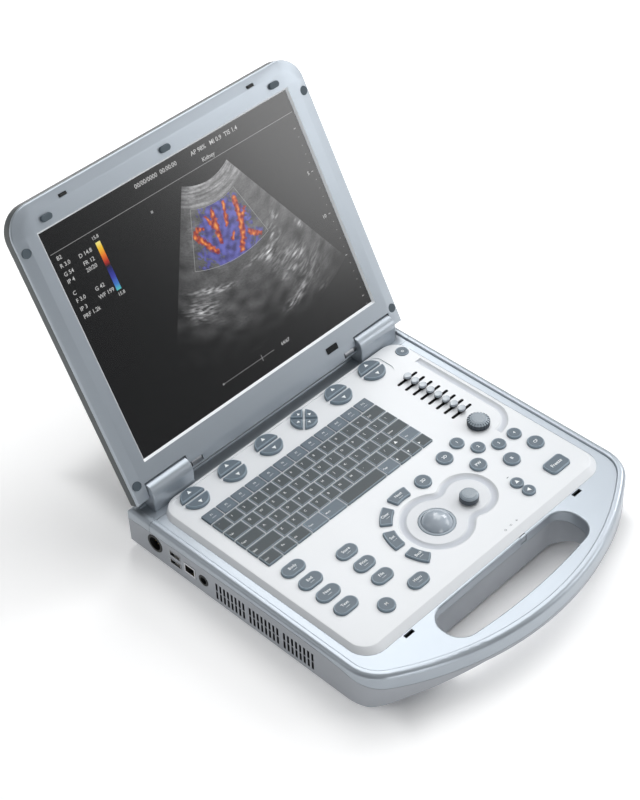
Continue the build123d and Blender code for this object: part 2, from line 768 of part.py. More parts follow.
dome_spots = [(x, y) for row in range(len(keyboard)) for x, y, width in key_boxes(row)]
dome_spots += [(soft_start + pair * soft_pitch, soft_y + side * 7) for pair in soft_pairs for side in (-1, 1)]
dome_spots += outer_ovals + inner_ovals + large_rounds + small_rounds + pair_rounds + [power_key, freeze_at]
with BuildPart() as dome_mat:
    with BuildSketch(deck_plane(mat_top - mat_thickness)):
        draw_plate()
    extrude(amount=mat_thickness)
    with BuildSketch(deck_plane(mat_top)):
        with Locations(*dome_spots):
            Circle(dome_radius)
    extrude(amount=dome_height)
pieces["dome_mat"] = dome_mat

with BuildPart() as key_plate:
    with BuildSketch(deck_plane(mat_top - mat_thickness - plate_thickness)):
        draw_plate()
    extrude(amount=plate_thickness)
pieces["key_plate"] = key_plate

# ---- lid release: a button in the handle's rear wall and the bar it drives under the slots ----
release_travel = 1.2
release_top = -rim_drop - 0.2
release_foot = -11.8
bar_y = -latch_reach
bar_width = 6.0
bar_height = 3.0
bar_lift = -latch_drop
catch_width = 5.0
with BuildPart() as release_button:
    with BuildSketch(deck_plane(release_foot)):
        with Locations((release_x, -grip_rear + 1.2)):
            Rectangle(release_width, 2.0)
    extrude(amount=release_top - release_foot)
    chamfer(release_button.faces().sort_by(Axis.Y)[0].edges(), 0.5)
    with BuildSketch(deck_plane(release_foot)):
        with Locations((release_x, -(grip_rear - 2.2 + -bar_y + bar_width / 2 + release_travel + 0.3) / 2)):
            Rectangle(4.0, grip_rear - 2.2 + bar_y - bar_width / 2 - release_travel - 0.3)
    extrude(amount=2.4)
pieces["release_button"] = release_button

with BuildPart() as latch_bar:
    with BuildSketch(deck_plane(bar_lift)):
        with Locations((0, bar_y)):
            Rectangle(2 * hook_spread + 24, bar_width)
        for side in (-1, 1):
            with Locations((side * hook_spread + 9, (bar_y - slot_reach) / 2 + 1)):
                Rectangle(catch_width, slot_reach + bar_y)
    extrude(amount=bar_height)
pieces["latch_bar"] = latch_bar

# ---- hinge covers fixed to the base; the lid's pins turn in them ----
cover_length = barrel_outer - barrel_inner
cap_top = -rim_drop
with BuildPart() as hinge_covers:
    for side in (-1, 1):
        with BuildSketch(side_plane(side * (barrel_inner + barrel_outer) / 2)):
            with Locations((hinge_setback, hinge_rise)):
                Circle(barrel_radius)
            with Locations((hinge_setback, (hinge_rise + cap_top + 0.1) / 2)):
                Rectangle(2 * barrel_radius, hinge_rise - cap_top - 0.1)
        extrude(amount=cover_length / 2, both=True)
    ends = hinge_covers.faces().filter_by(Axis.X).edges().filter_by(GeomType.CIRCLE)
    chamfer(ends, 0.6)
    with BuildSketch(side_plane()):
        with Locations((hinge_setback, hinge_rise)):
            Circle(pin_radius + running_gap)
    extrude(amount=barrel_outer - 4, both=True, mode=Mode.SUBTRACT)
pieces["hinge_covers"] = hinge_covers

pin_end = barrel_outer - 6
with BuildPart() as hinge_pins:
    for side in (-1, 1):
        with BuildSketch(side_plane(side * arm_inner)):
            with Locations((hinge_setback, hinge_rise)):
                Circle(pin_radius)
        extrude(amount=side * (pin_end - arm_inner))
pieces["hinge_pins"] = hinge_pins

# ---- lid ----
notch_far = barrel_radius + barrel_gap


with BuildSketch() as lid_plan:
    with Locations((0, (lid_length - lid_tail) / 2)):
        Rectangle(2 * lid_half_width, lid_length + lid_tail)
    corners = lid_plan.vertices().sort_by(Axis.Y)
    fillet(corners[2:], lid_corner)
    fillet(corners[:2], lid_foot_corner)

with BuildSketch() as hinge_notches:
    notch_low, notch_high = barrel_inner - barrel_gap, barrel_outer + barrel_gap
    for side in (-1, 1):
        with Locations((side * (notch_low + notch_high) / 2, (notch_far - lid_tail - 5) / 2)):
            Rectangle(notch_high - notch_low, notch_far + lid_tail + 5)

with BuildPart() as knuckle_rooms:
    for side in (-1, 1):
        with BuildSketch(side_plane(side * (arm_inner - 0.5))):
            with Locations((hinge_setback, hinge_rise)):
                Circle(knuckle_radius + knuckle_gap)
        extrude(amount=side * (barrel_inner + 1 - arm_inner))

face_edge = 1.8
back_edge = 7.0
with BuildPart() as lid_shape:
    with BuildSketch(lid_plane(-lid_back)):
        add(lid_plan.sketch)
    extrude(amount=lid_thickness)
    inner_face = lid_shape.faces().sort_by(Axis((0, 0, 0), tuple(lid_plane().z_dir)))[-1]
    outer_face = lid_shape.faces().sort_by(Axis((0, 0, 0), tuple(lid_plane().z_dir)))[0]
    fillet(outer_face.edges(), back_edge)
    chamfer(inner_face.edges(), face_slope, face_fall, reference=inner_face)
    rim_height = lid_plane(lid_face - face_fall).origin
    fillet(
        lid_shape.edges().filter_by(lambda e: abs((e.center() - rim_height).dot(lid_plane().z_dir)) < 0.01),
        face_edge,
    )

bezel_back = lid_face - bezel_depth
window_slope = 2.0
cover_radius = 4.5
cover_depth = 2.4
cover_sink = 0.7          # the covers lie on the sloped border
cover_spots = [(x, y) for x in (-171.0, 171.0) for y in (12.9, 249.4)]
with BuildPart() as lid_bezel:
    add(lid_shape.part)
    with BuildSketch(lid_plane(bezel_back)):
        Rectangle(3 * lid_half_width, 3 * lid_length)
    extrude(amount=-lid_thickness, mode=Mode.SUBTRACT)
    # the picture's window, sloped round its edge
    with BuildSketch(lid_plane(lid_face)):
        with Locations((0, screen_start + screen_height / 2)):
            Rectangle(screen_width + 2 * window_slope, screen_height + 2 * window_slope)
    extrude(amount=-glass_recess, taper=38, mode=Mode.SUBTRACT)
    with BuildSketch(lid_plane(bezel_back)):
        with Locations((0, screen_start + screen_height / 2)):
            Rectangle(screen_width, screen_height)
    extrude(amount=bezel_depth, mode=Mode.SUBTRACT)
    # the seat of glass and display behind it
    with BuildSketch(lid_plane(bezel_back)):
        with Locations((0, screen_start + screen_height / 2)):
            Rectangle(screen_width + 8, screen_height + 8)
    extrude(amount=bezel_depth - glass_recess, mode=Mode.SUBTRACT)
    with BuildSketch(lid_plane(bezel_back)):
        add(hinge_notches.sketch)
    extrude(amount=bezel_depth, mode=Mode.SUBTRACT)
    # hook slots
    with BuildSketch(lid_plane(bezel_back)):
        with Locations((-hook_spread, slot_reach + hinge_setback), (hook_spread, slot_reach + hinge_setback)):
            Rectangle(9.0, 3.2)
    extrude(amount=bezel_depth, mode=Mode.SUBTRACT)
    # pockets of the screw covers
    with BuildSketch(lid_plane(lid_face - cover_depth)):
        with Locations(*cover_spots):
            Circle(cover_radius + 0.1)
    extrude(amount=cover_depth, mode=Mode.SUBTRACT)
    # room for the pins' knuckles
    add(knuckle_rooms.part, mode=Mode.SUBTRACT)
pieces["lid_bezel"] = lid_bezel

with BuildPart() as lid_back_shell:
    add(lid_shape.part)
    with BuildSketch(lid_plane(bezel_back - seam_gap)):
        Rectangle(3 * lid_half_width, 3 * lid_length)
    extrude(amount=lid_thickness, mode=Mode.SUBTRACT)
    with BuildSketch(lid_plane(-lid_back)):
        add(hinge_notches.sketch)
    extrude(amount=lid_thickness, mode=Mode.SUBTRACT)
    with BuildSketch(lid_plane(wall - lid_back)):
        offset(lid_plan.sketch, amount=-back_edge)
        offset(hinge_notches.sketch, amount=wall, mode=Mode.SUBTRACT)
    extrude(amount=lid_thickness, mode=Mode.SUBTRACT)
    add(knuckle_rooms.part, mode=Mode.SUBTRACT)
pieces["lid_back_shell"] = lid_back_shell

glass_top = lid_face - glass_recess - 0.1
with BuildPart() as screen_glass:
    with BuildSketch(lid_plane(glass_top - glass_thickness)):
        with Locations((0, screen_start + screen_height / 2)):
            Rectangle(screen_width + 7, screen_height + 7)
    extrude(amount=glass_thickness)
pieces["screen_glass"] = screen_glass

display_depth = 6.5
with BuildPart() as display_module:
    with BuildSketch(lid_plane(glass_top - glass_thickness - 0.1 - display_depth)):
        with Locations((0, screen_start + screen_height / 2)):
            Rectangle(screen_width + 6, screen_height + 6)
    extrude(amount=display_depth)
pieces["display_module"] = display_module

# steel arms that carry the lid on its pins
arm_start = 2.4
arm_end = 24.0
arm_width = 13.0
arm_thickness = 2.0
knuckle_length = 12.0
with BuildPart() as hinge_arms:
    for side in (-1, 1):
        with BuildSketch(lid_plane(-knuckle_radius)):
            with Locations((side * (arm_inner + arm_width / 2), (arm_start + arm_end) / 2)):
                Rectangle(arm_width, arm_end - arm_start)
        extrude(amount=arm_thickness)
        with BuildSketch(side_plane(side * (arm_inner + 1))):
            with Locations((hinge_setback, hinge_rise)):
                Circle(knuckle_radius)
        extrude(amount=side * knuckle_length)
        with BuildSketch(side_plane(side * (arm_inner - 2))):
            with Locations((hinge_setback, hinge_rise)):
                Circle(pin_radius)
        extrude(amount=side * 40, mode=Mode.SUBTRACT)
pieces["hinge_arms"] = hinge_arms

bumper_reach = 268.9
bumper_spread = 139.5
bumper_height = 2.4
with BuildPart() as lid_bumpers:
    with BuildSketch(lid_plane(lid_face + 0.05)):
        with Locations((-bumper_spread, bumper_reach), (0, bumper_reach), (bumper_spread, bumper_reach)):
            SlotOverall(12.5, 6.2)
    extrude(amount=bumper_height)
    fillet(lid_bumpers.faces().sort_by(Axis((0, 0, 0), tuple(lid_plane().z_dir)))[-3:].edges(), 1.0)
pieces["lid_bumpers"] = lid_bumpers

with BuildPart() as screw_covers:
    with BuildSketch(lid_plane(lid_face - cover_depth + 0.05)):
        with Locations(*cover_spots):
            Circle(cover_radius)
    extrude(amount=cover_depth - cover_sink)
pieces["screw_covers"] = screw_covers

indicator_x = 84.5
indicator_reach = 14.3
with BuildPart() as indicator_window:
    with BuildSketch(lid_plane(lid_face + 0.05)):
        with Locations((indicator_x, indicator_reach)):
            RectangleRounded(15.0, 6.4, 0.8)
    extrude(amount=0.4)
pieces["indicator_window"] = indicator_window

hook_rest = lid_face + 0.6
hook_length = 17.5
with BuildPart() as latch_hooks:
    for side in (-1, 1):
        with BuildSketch(lid_plane(hook_rest - hook_length)):
            with Locations((side * hook_spread, slot_reach + hinge_setback)):
                Rectangle(7.6, 2.0)
        extrude(amount=hook_length)
pieces["latch_hooks"] = latch_hooks

# ---- sockets in the base's sides ----
socket_depth = 15.0
socket_bore = 7.2
socket_bore_depth = 6.0
video_bore = 3.9
left_face = -half_width - 0.3
with BuildPart() as round_sockets:
    with BuildSketch(side_plane(left_face)):
        with Locations((socket_y, socket_z)):
            Circle(socket_radius)
        with Locations((video_y, video_z)):
            Circle(video_radius)
    extrude(amount=socket_depth)
    with BuildSketch(side_plane(left_face)):
        with Locations((socket_y, socket_z)):
            Circle(socket_bore)
        with Locations((video_y, video_z)):
            Circle(video_bore)
    extrude(amount=socket_bore_depth, mode=Mode.SUBTRACT)
pieces["round_sockets"] = round_sockets

port_skin = 0.6
port_depth = 16.0
with BuildPart() as data_ports:
    with BuildSketch(side_plane(left_face)):
        with Locations(*[(usb_y, z) for z in usb_z]):
            Rectangle(usb_width, usb_height)
        with Locations((lan_y, lan_z)):
            Rectangle(lan_width, lan_height)
    extrude(amount=port_depth)
    with BuildSketch(side_plane(left_face)):
        with Locations(*[(usb_y, z) for z in usb_z]):
            Rectangle(usb_width - 2 * port_skin, usb_height - 2 * port_skin)
        with Locations((lan_y, lan_z)):
            Rectangle(lan_width - 3, lan_height - 4)
    extrude(amount=port_depth - 3, mode=Mode.SUBTRACT)
    with BuildSketch(side_plane(left_face + 1.5)):
        with Locations(*[(usb_y, z + 0.9) for z in usb_z]):
            Rectangle(usb_width - 4, 1.6)
    extrude(amount=port_depth - 3)
pieces["data_ports"] = data_ports

probe_depth = 24.0
probe_recess = 10.0
with BuildPart() as probe_socket:
    with BuildSketch(side_plane(half_width + 0.3)):
        with Locations((probe_y, probe_z)):
            RectangleRounded(probe_width, probe_height, 4)
    extrude(amount=-probe_depth)
    with BuildSketch(side_plane(half_width + 0.3)):
        with Locations((probe_y, probe_z)):
            RectangleRounded(probe_width - 8, probe_height - 7, 2)
    extrude(amount=-probe_recess, mode=Mode.SUBTRACT)
pieces["probe_socket"] = probe_socket

back_plane = Plane.XZ.offset(-reference_y - rear_reach - 0.3)
with BuildPart() as power_inlet:
    with BuildSketch(back_plane):
        with Locations((power_x, deck_height + power_z)):
            Rectangle(power_width, power_height)
    extrude(amount=18)
    with BuildSketch(back_plane):
        with Locations((power_x, deck_height + power_z)):
            RectangleRounded(power_width - 6, power_height - 6, 2)
    extrude(amount=9, mode=Mode.SUBTRACT)
pieces["power_inlet"] = power_inlet

# ---- what the case holds ----
board_left, board_right = -150.0, 95.0
board_front, board_rear = -156.0, -28.0
board_thickness = 1.6
chips = [(-100, -60, 34, 34, 3.5), (-40, -60, 28, 28, 3), (30, -65, 40, 30, 8), (-100, -120, 46, 26, 4),
         (-30, -120, 30, 30, 3), (40, -120, 50, 22, 6)]
with BuildPart() as main_board:
    with BuildSketch(deck_plane(-board_drop)):
        with Locations(((board_left + board_right) / 2, (board_front + board_rear) / 2)):
            Rectangle(board_right - board_left, board_rear - board_front)
    extrude(amount=board_thickness)
    for x, y, length, width, height in chips:
        with BuildSketch(deck_plane(-board_drop + board_thickness)):
            with Locations((x, y)):
                Rectangle(length, width)
        extrude(amount=height)
pieces["main_board"] = main_board

battery_height = 15.5
with BuildPart() as battery_pack:
    with BuildSketch(deck_plane(-case_depth + 0.2)):
        with Locations((0, battery_y)):
            RectangleRounded(battery_length, battery_width, 3.7)
    extrude(amount=battery_height)
pieces["battery_pack"] = battery_pack

fan_at = (136.0, -42.0)
fan_width = 50.0
fan_height = 15.0
fan_bore = 22.0
fan_foot = -case_depth + wall
hub_radius = 9.0
rotor_radius = 21.0
spindle_radius = 2.0
with BuildPart() as fan_frame:
    with BuildSketch(deck_plane(fan_foot)):
        with Locations(fan_at):
            RectangleRounded(fan_width, fan_width, 3)
    extrude(amount=fan_height)
    with BuildSketch(deck_plane(fan_foot + 2)):
        with Locations(fan_at):
            Circle(fan_bore)
    extrude(amount=fan_height, mode=Mode.SUBTRACT)
    with BuildSketch(deck_plane(fan_foot + 2)):
        with Locations(fan_at):
            Circle(spindle_radius)
    extrude(amount=fan_height - 5)
pieces["fan_frame"] = fan_frame

with BuildPart() as fan_rotor:
    with BuildSketch(deck_plane(fan_foot + 2.4)):
        with Locations(fan_at):
            Circle(hub_radius)
            with PolarLocations((hub_radius + rotor_radius) / 2, 9):
                Rectangle(rotor_radius - hub_radius + 1, 1.4)
    extrude(amount=fan_height - 3.4)
    with BuildSketch(deck_plane(fan_foot + 2.4)):
        with Locations(fan_at):
            Circle(spindle_radius + running_gap)
    extrude(amount=fan_height - 5, mode=Mode.SUBTRACT)
pieces["fan_rotor"] = fan_rotor

foot_radius = 8.0
foot_spots = [(x, y) for x in (-145, 145) for y in (-262, -8)]
with BuildPart() as feet:
    with BuildSketch(deck_plane(-case_depth - foot_height)):
        with Locations(*foot_spots):
            Circle(foot_radius)
    extrude(amount=foot_height)
    chamfer(feet.faces().filter_by(Axis.Z).group_by(Axis.Z)[0].edges(), 0.8)
pieces["feet"] = feet

with BuildPart() as case_screws:
    with BuildSketch(deck_plane(-case_depth + screw_sink)):
        with Locations(*screw_spots):
            Circle(screw_head_radius)
    extrude(amount=screw_head_height)
    with BuildSketch(deck_plane(-case_depth + screw_sink)):
        with Locations(*screw_spots):
            Circle(screw_radius)
    extrude(amount=screw_length - 0.3)
    with BuildSketch(deck_plane(-case_depth + screw_sink)):
        with Locations(*screw_spots):
            RegularPolygon(1.3, 6)
    extrude(amount=1.0, mode=Mode.SUBTRACT)
pieces["case_screws"] = case_screws

os.makedirs("parts", exist_ok=True)
for name, piece in pieces.items():
    piece.part.label = name
    export_step(piece.part, f"parts/{name}.step")
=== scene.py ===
"""A portable ultrasound scanner on a pale floor: the looks of every piece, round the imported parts."""
import json
import math
import bmesh
import bpy
from mathutils import Matrix, Vector, noise


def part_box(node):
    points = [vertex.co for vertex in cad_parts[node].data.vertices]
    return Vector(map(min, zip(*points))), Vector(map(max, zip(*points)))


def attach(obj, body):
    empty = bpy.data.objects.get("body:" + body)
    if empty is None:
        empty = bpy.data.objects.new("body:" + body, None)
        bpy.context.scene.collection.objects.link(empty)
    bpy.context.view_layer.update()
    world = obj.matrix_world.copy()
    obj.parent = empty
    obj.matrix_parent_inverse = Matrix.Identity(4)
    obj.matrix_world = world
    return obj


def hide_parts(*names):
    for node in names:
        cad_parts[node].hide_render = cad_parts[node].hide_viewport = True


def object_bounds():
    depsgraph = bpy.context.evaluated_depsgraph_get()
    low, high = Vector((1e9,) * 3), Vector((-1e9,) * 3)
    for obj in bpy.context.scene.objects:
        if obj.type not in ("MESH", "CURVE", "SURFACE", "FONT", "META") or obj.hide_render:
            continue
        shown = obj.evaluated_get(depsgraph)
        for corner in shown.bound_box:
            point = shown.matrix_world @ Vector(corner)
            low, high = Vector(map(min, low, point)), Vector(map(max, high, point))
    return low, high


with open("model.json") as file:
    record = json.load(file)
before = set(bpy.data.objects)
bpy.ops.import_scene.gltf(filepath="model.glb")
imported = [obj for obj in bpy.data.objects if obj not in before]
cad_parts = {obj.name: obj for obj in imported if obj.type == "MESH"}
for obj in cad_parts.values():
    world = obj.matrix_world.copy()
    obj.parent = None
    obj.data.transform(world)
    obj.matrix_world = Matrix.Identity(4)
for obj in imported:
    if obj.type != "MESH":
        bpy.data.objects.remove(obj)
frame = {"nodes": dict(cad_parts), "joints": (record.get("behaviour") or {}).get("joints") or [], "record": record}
cad_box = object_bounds()
bpy.ops.object.select_all(action="DESELECT")

# ---- the room ----
# A seamless white paper floor under six soft lamps: above, right, front, left, low in front and a rim
# lamp behind. The grey surround gives the glossy plastics a dim room to mirror.


def linear(sheet_colour):
    """An sRGB hex value as linear red, green and blue, with an alpha of 1."""
    shares = [int(sheet_colour[i:i + 2], 16) / 255 for i in (1, 3, 5)]
    return [c / 12.92 if c <= 0.04045 else ((c + 0.055) / 1.055) ** 2.4 for c in shares] + [1.0]


def add_node(tree, kind, inputs=None, **settings):
    """Adds a node: settings are its own properties, inputs are values or the sockets that feed them."""
    node = tree.nodes.new(kind)
    for name, value in settings.items():
        setattr(node, name, value)
    for key, value in (inputs or {}).items():
        if isinstance(value, bpy.types.NodeSocket):
            tree.links.new(value, node.inputs[key])
        else:
            node.inputs[key].default_value = value
    return node


def new_material(name):
    """An empty node material with its output: returns the material, its tree and the output node."""
    material = bpy.data.materials.new(name)
    material.use_nodes = True
    material.node_tree.nodes.clear()
    return material, material.node_tree, add_node(material.node_tree, "ShaderNodeOutputMaterial")


# Matt white paper, evenly lit: it glows, more with distance, so that it runs into the backdrop unseen.
GLOW_NEAR_M, GLOW_FAR_M, GLOW_LEAST, GLOW_MOST = 0.4, 2.0, 0.23, 0.85
floor_paint, tree, output = new_material("studio_floor")
where = add_node(tree, "ShaderNodeTexCoord")
reach = add_node(tree, "ShaderNodeVectorMath", {0: where.outputs["Object"]}, operation="LENGTH")
far_glow = add_node(tree, "ShaderNodeMapRange", {
    "Value": reach.outputs["Value"], "From Min": GLOW_NEAR_M, "From Max": GLOW_FAR_M,
    "To Min": GLOW_LEAST, "To Max": GLOW_MOST}, interpolation_type="SMOOTHSTEP")

# There is no glow under the case: a painted shadow, which darkens the floor there and through the handle's
# opening. The glow sets in between these two shares of the case's outline.
COVERED_SHARE, CLEAR_SHARE = 0.8, 0.99
mirrored = add_node(tree, "ShaderNodeVectorMath", {0: where.outputs["Object"]}, operation="ABSOLUTE")
outline = add_node(tree, "ShaderNodeVectorMath", {
    0: mirrored.outputs["Vector"], 1: (1 / cad_box[1][0], 1 / abs(cad_box[0][1]), 0)},
    operation="MULTIPLY")
sides = add_node(tree, "ShaderNodeSeparateXYZ", {"Vector": outline.outputs["Vector"]})
outside = add_node(tree, "ShaderNodeMath", {
    0: sides.outputs["X"], 1: sides.outputs["Y"]}, operation="MAXIMUM")
beyond_painted_shadow = add_node(tree, "ShaderNodeMapRange", {
    "Value": outside.outputs["Value"], "From Min": COVERED_SHARE, "From Max": CLEAR_SHARE},
    interpolation_type="SMOOTHSTEP")
glow = add_node(tree, "ShaderNodeMath", {
    0: far_glow.outputs["Result"], 1: beyond_painted_shadow.outputs["Result"]}, operation="MULTIPLY")
surface = add_node(tree, "ShaderNodeBsdfPrincipled", {
    "Base Color": linear("#FDFDFD"), "Roughness": 0.8, "Specular IOR Level": 0.1,
    "Emission Color": linear("#FFFFFF"), "Emission Strength": glow.outputs["Value"]})
tree.links.new(surface.outputs["BSDF"], output.inputs["Surface"])
FLOOR_M = 40
bpy.ops.mesh.primitive_plane_add(size=FLOOR_M, location=(0, 0, cad_box[0][2]))
floor = bpy.context.object
floor.name = "studio_floor"
floor.data.materials.append(floor_paint)

# The surround: dim at the floor and white overhead, which gives the gloss its soft gradients.
GLOSS_LIGHT = 0.42
world = bpy.data.worlds.new("studio_surround")
bpy.context.scene.world = world
world.use_nodes = True
tree = world.node_tree
tree.nodes.clear()
where = add_node(tree, "ShaderNodeTexCoord")
parts = add_node(tree, "ShaderNodeSeparateXYZ", {"Vector": where.outputs["Generated"]})
shade = add_node(tree, "ShaderNodeValToRGB", {"Fac": parts.outputs["Z"]})
shade.color_ramp.elements[0].position = 0.0
shade.color_ramp.elements[0].color = linear("#4C5157")
shade.color_ramp.elements[1].position = 0.85
shade.color_ramp.elements[1].color = linear("#FFFFFF")
middle_sky = shade.color_ramp.elements.new(0.35)
middle_sky.color = linear("#868D94")
glow = add_node(tree, "ShaderNodeBackground", {"Color": shade.outputs["Color"], "Strength": GLOSS_LIGHT})

# Past the floor's far edge the backdrop is white, while the gloss still mirrors the grey room.
backdrop = add_node(tree, "ShaderNodeBackground", {"Color": linear("#FFFFFF"), "Strength": 1.0})
direct = add_node(tree, "ShaderNodeLightPath")
surround = add_node(tree, "ShaderNodeMixShader", {
    0: direct.outputs["Is Camera Ray"], 1: glow.outputs["Background"], 2: backdrop.outputs["Background"]})
add_node(tree, "ShaderNodeOutputWorld", {"Surface": surround.outputs["Shader"]})

# The lamps: name, place and width in metres, power in watts. All face the middle of the scanner.
LIT_HEIGHT_M = 0.1
for name, spot, size, power in (
        ("lamp_above", (0.75, 0.5, 2.0), 1.5, 20),
        ("lamp_right", (1.9, -0.1, 1.2), 0.8, 13),
        ("lamp_front", (1.85, -1.5, 1.0), 1.2, 15),
        ("lamp_left", (-1.7, 0.9, 1.1), 0.8, 2),
        ("lamp_low", (-0.7, -1.9, 0.4), 0.8, 6),
        ("lamp_rim", (1.05, 1.15, 1.3), 0.7, 6)):
    lamp = bpy.data.lights.new(name, "AREA")
    lamp.size = size
    lamp.energy = power
    lamp_object = bpy.data.objects.new(name, lamp)
    lamp_object.location = spot
    beam = Vector((0, 0, LIT_HEIGHT_M)) - Vector(spot)
    lamp_object.rotation_euler = beam.to_track_quat("-Z", "Y").to_euler()
    bpy.context.scene.collection.objects.link(lamp_object)

# The camera stands 1.8 m off, on the left in front and well above, as someone leaning over would.
LENS_MM, FRAME_MM = 83.58, 36
camera = bpy.data.objects.new("camera", bpy.data.cameras.new("camera"))
camera.data.sensor_fit = "VERTICAL"
camera.data.sensor_height = FRAME_MM
camera.data.lens = LENS_MM
camera.location = (-0.88775, -0.87742, 1.25844)
camera.rotation_euler = [math.radians(angle) for angle in (47.824, 1.868, -45.915)]
bpy.context.scene.collection.objects.link(camera)
bpy.context.scene.camera = camera
bpy.context.scene.view_settings.view_transform = "Standard"

# ---- lower case ----
# The grey tray under the scanner, injection moulded in ABS with a fine spark texture. The boards,
# the battery and the sockets are screwed into it, and its side walls carry the cooling slots.
MM = 0.001
MERGE_M = 0.000004

# Lengths along the case start from a line just behind the lid's hinge, and depths from the deck.
BEHIND_HINGE_M = 0.0021
lid_hinge = next(joint for joint in frame["joints"] if joint["name"] == "lid_hinge")
hinge = Vector(lid_hinge["pos_m"])
reference_y = hinge.y + BEHIND_HINGE_M
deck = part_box("control_panel")[1].z


def take(node, name, angle=32):
    """A merged copy of a CAD node's mesh, shaded smooth across edges below the angle in degrees."""
    piece = bpy.data.objects.new(name, frame["nodes"][node].data.copy())
    bpy.context.scene.collection.objects.link(piece)
    bpy.ops.object.select_all(action="DESELECT")
    bpy.context.view_layer.objects.active = piece
    piece.select_set(True)
    piece.data.materials.clear()
    bpy.ops.mesh.customdata_custom_splitnormals_clear()
    bpy.ops.object.mode_set(mode="EDIT")
    bpy.ops.mesh.select_all(action="SELECT")
    bpy.ops.mesh.remove_doubles(threshold=MERGE_M)
    bpy.ops.object.mode_set(mode="OBJECT")
    bpy.ops.object.shade_smooth_by_angle(angle=math.radians(angle))
    return piece


def keep_flat(piece):
    """Weights the normals by face area, so that flat faces stay flat beside rounded edges."""
    bpy.context.view_layer.objects.active = piece
    weighted = piece.modifiers.new("weighted", "WEIGHTED_NORMAL")
    weighted.keep_sharp = True
    bpy.ops.object.modifier_apply(modifier="weighted")


def fit(piece, body, slot, *materials, stands_for=()):
    """Gives a finished piece its materials and fixes it to its body, in place of CAD nodes."""
    for material in materials:
        piece.data.materials.append(material)
    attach(piece, body)
    if stands_for:
        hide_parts(*stands_for)


# Real spark grain is about 0.1 mm wide. It is drawn coarser, mostly at 0.3 to 0.6 mm, or it wouldn't
# show. Clouds of slightly uneven tone, about 70 mm across, come from the flow in the mould.
CLOUDS_PER_M = 14.0


def moulded(name, tint, roughness, grain_mm, grain_depth, metallic=0.0, coat=0.0, spread=0.06):
    """Moulded stuff: a grain in its surface, which breaks the highlight, and a slightly uneven tone."""
    material, tree, output = new_material(name)
    where = add_node(tree, "ShaderNodeTexCoord")
    grain = add_node(tree, "ShaderNodeTexNoise", {
        "Vector": where.outputs["Object"], "Scale": 1 / (grain_mm * MM), "Detail": 2.0, "Roughness": 0.6})
    cloud = add_node(tree, "ShaderNodeTexNoise", {
        "Vector": where.outputs["Object"], "Scale": CLOUDS_PER_M, "Detail": 3.0})
    tone = add_node(tree, "ShaderNodeMapRange", {
        "Value": cloud.outputs["Fac"], "From Min": 0.3, "From Max": 0.7,
        "To Min": 1 - spread, "To Max": 1 + spread})
    paint = add_node(tree, "ShaderNodeMix", {"Factor": 1.0}, data_type="RGBA", blend_type="MULTIPLY")
    paint.inputs["A"].default_value = linear(tint)
    tree.links.new(tone.outputs["Result"], paint.inputs["B"])
    gloss = add_node(tree, "ShaderNodeMapRange", {
        "Value": grain.outputs["Fac"], "From Min": 0.25, "From Max": 0.75,
        "To Min": roughness - 0.05, "To Max": roughness + 0.07})
    relief = add_node(tree, "ShaderNodeBump", {
        "Height": grain.outputs["Fac"], "Strength": 0.5, "Distance": grain_depth * MM})
    surface = add_node(tree, "ShaderNodeBsdfPrincipled", {
        "Base Color": paint.outputs["Result"], "Roughness": gloss.outputs["Result"],
        "Normal": relief.outputs["Normal"], "Metallic": metallic,
        "Coat Weight": coat, "Coat Roughness": 0.25})
    tree.links.new(surface.outputs["BSDF"], output.inputs["Surface"])
    return material


# Textured ABS looks flat grey and dull. The slots' edges are painted near black: painted shade.
case_grey = moulded("grey_textured_abs", "#A4A8AE", 0.5, 0.5, 0.05)
slot_edge_shade = moulded("painted_shade_slot_edge_abs", "#2C2D31", 0.7, 0.5, 0.05)
lower_case = take("lower_case", "lower_case_shell")
keep_flat(lower_case)
fit(lower_case, "base", "lower_case", case_grey, slot_edge_shade, stands_for=("lower_case",))
SLOTS_FRONT_MM, SLOTS_BACK_MM, SLOTS_FOOT_MM, SLOT_FACE_MM2 = -231, -105, 39, 40
SKIN_MM, WALL_MM = 0.05, 2.6
wall_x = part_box("lower_case")[1].x
# The faces of the slots' edges inside the wall take the painted shade, material 1.
for face in lower_case.data.polygons:
    depth_mm = (wall_x - abs(face.center.x)) / MM
    along_mm = (face.center.y - reference_y) / MM
    if SKIN_MM < depth_mm < WALL_MM and abs(face.normal.x) < 0.3 and face.area < SLOT_FACE_MM2 * MM * MM:
        beside_slots = SLOTS_FRONT_MM < along_mm < SLOTS_BACK_MM
        face.material_index = int(beside_slots and face.center.z > deck - SLOTS_FOOT_MM * MM)
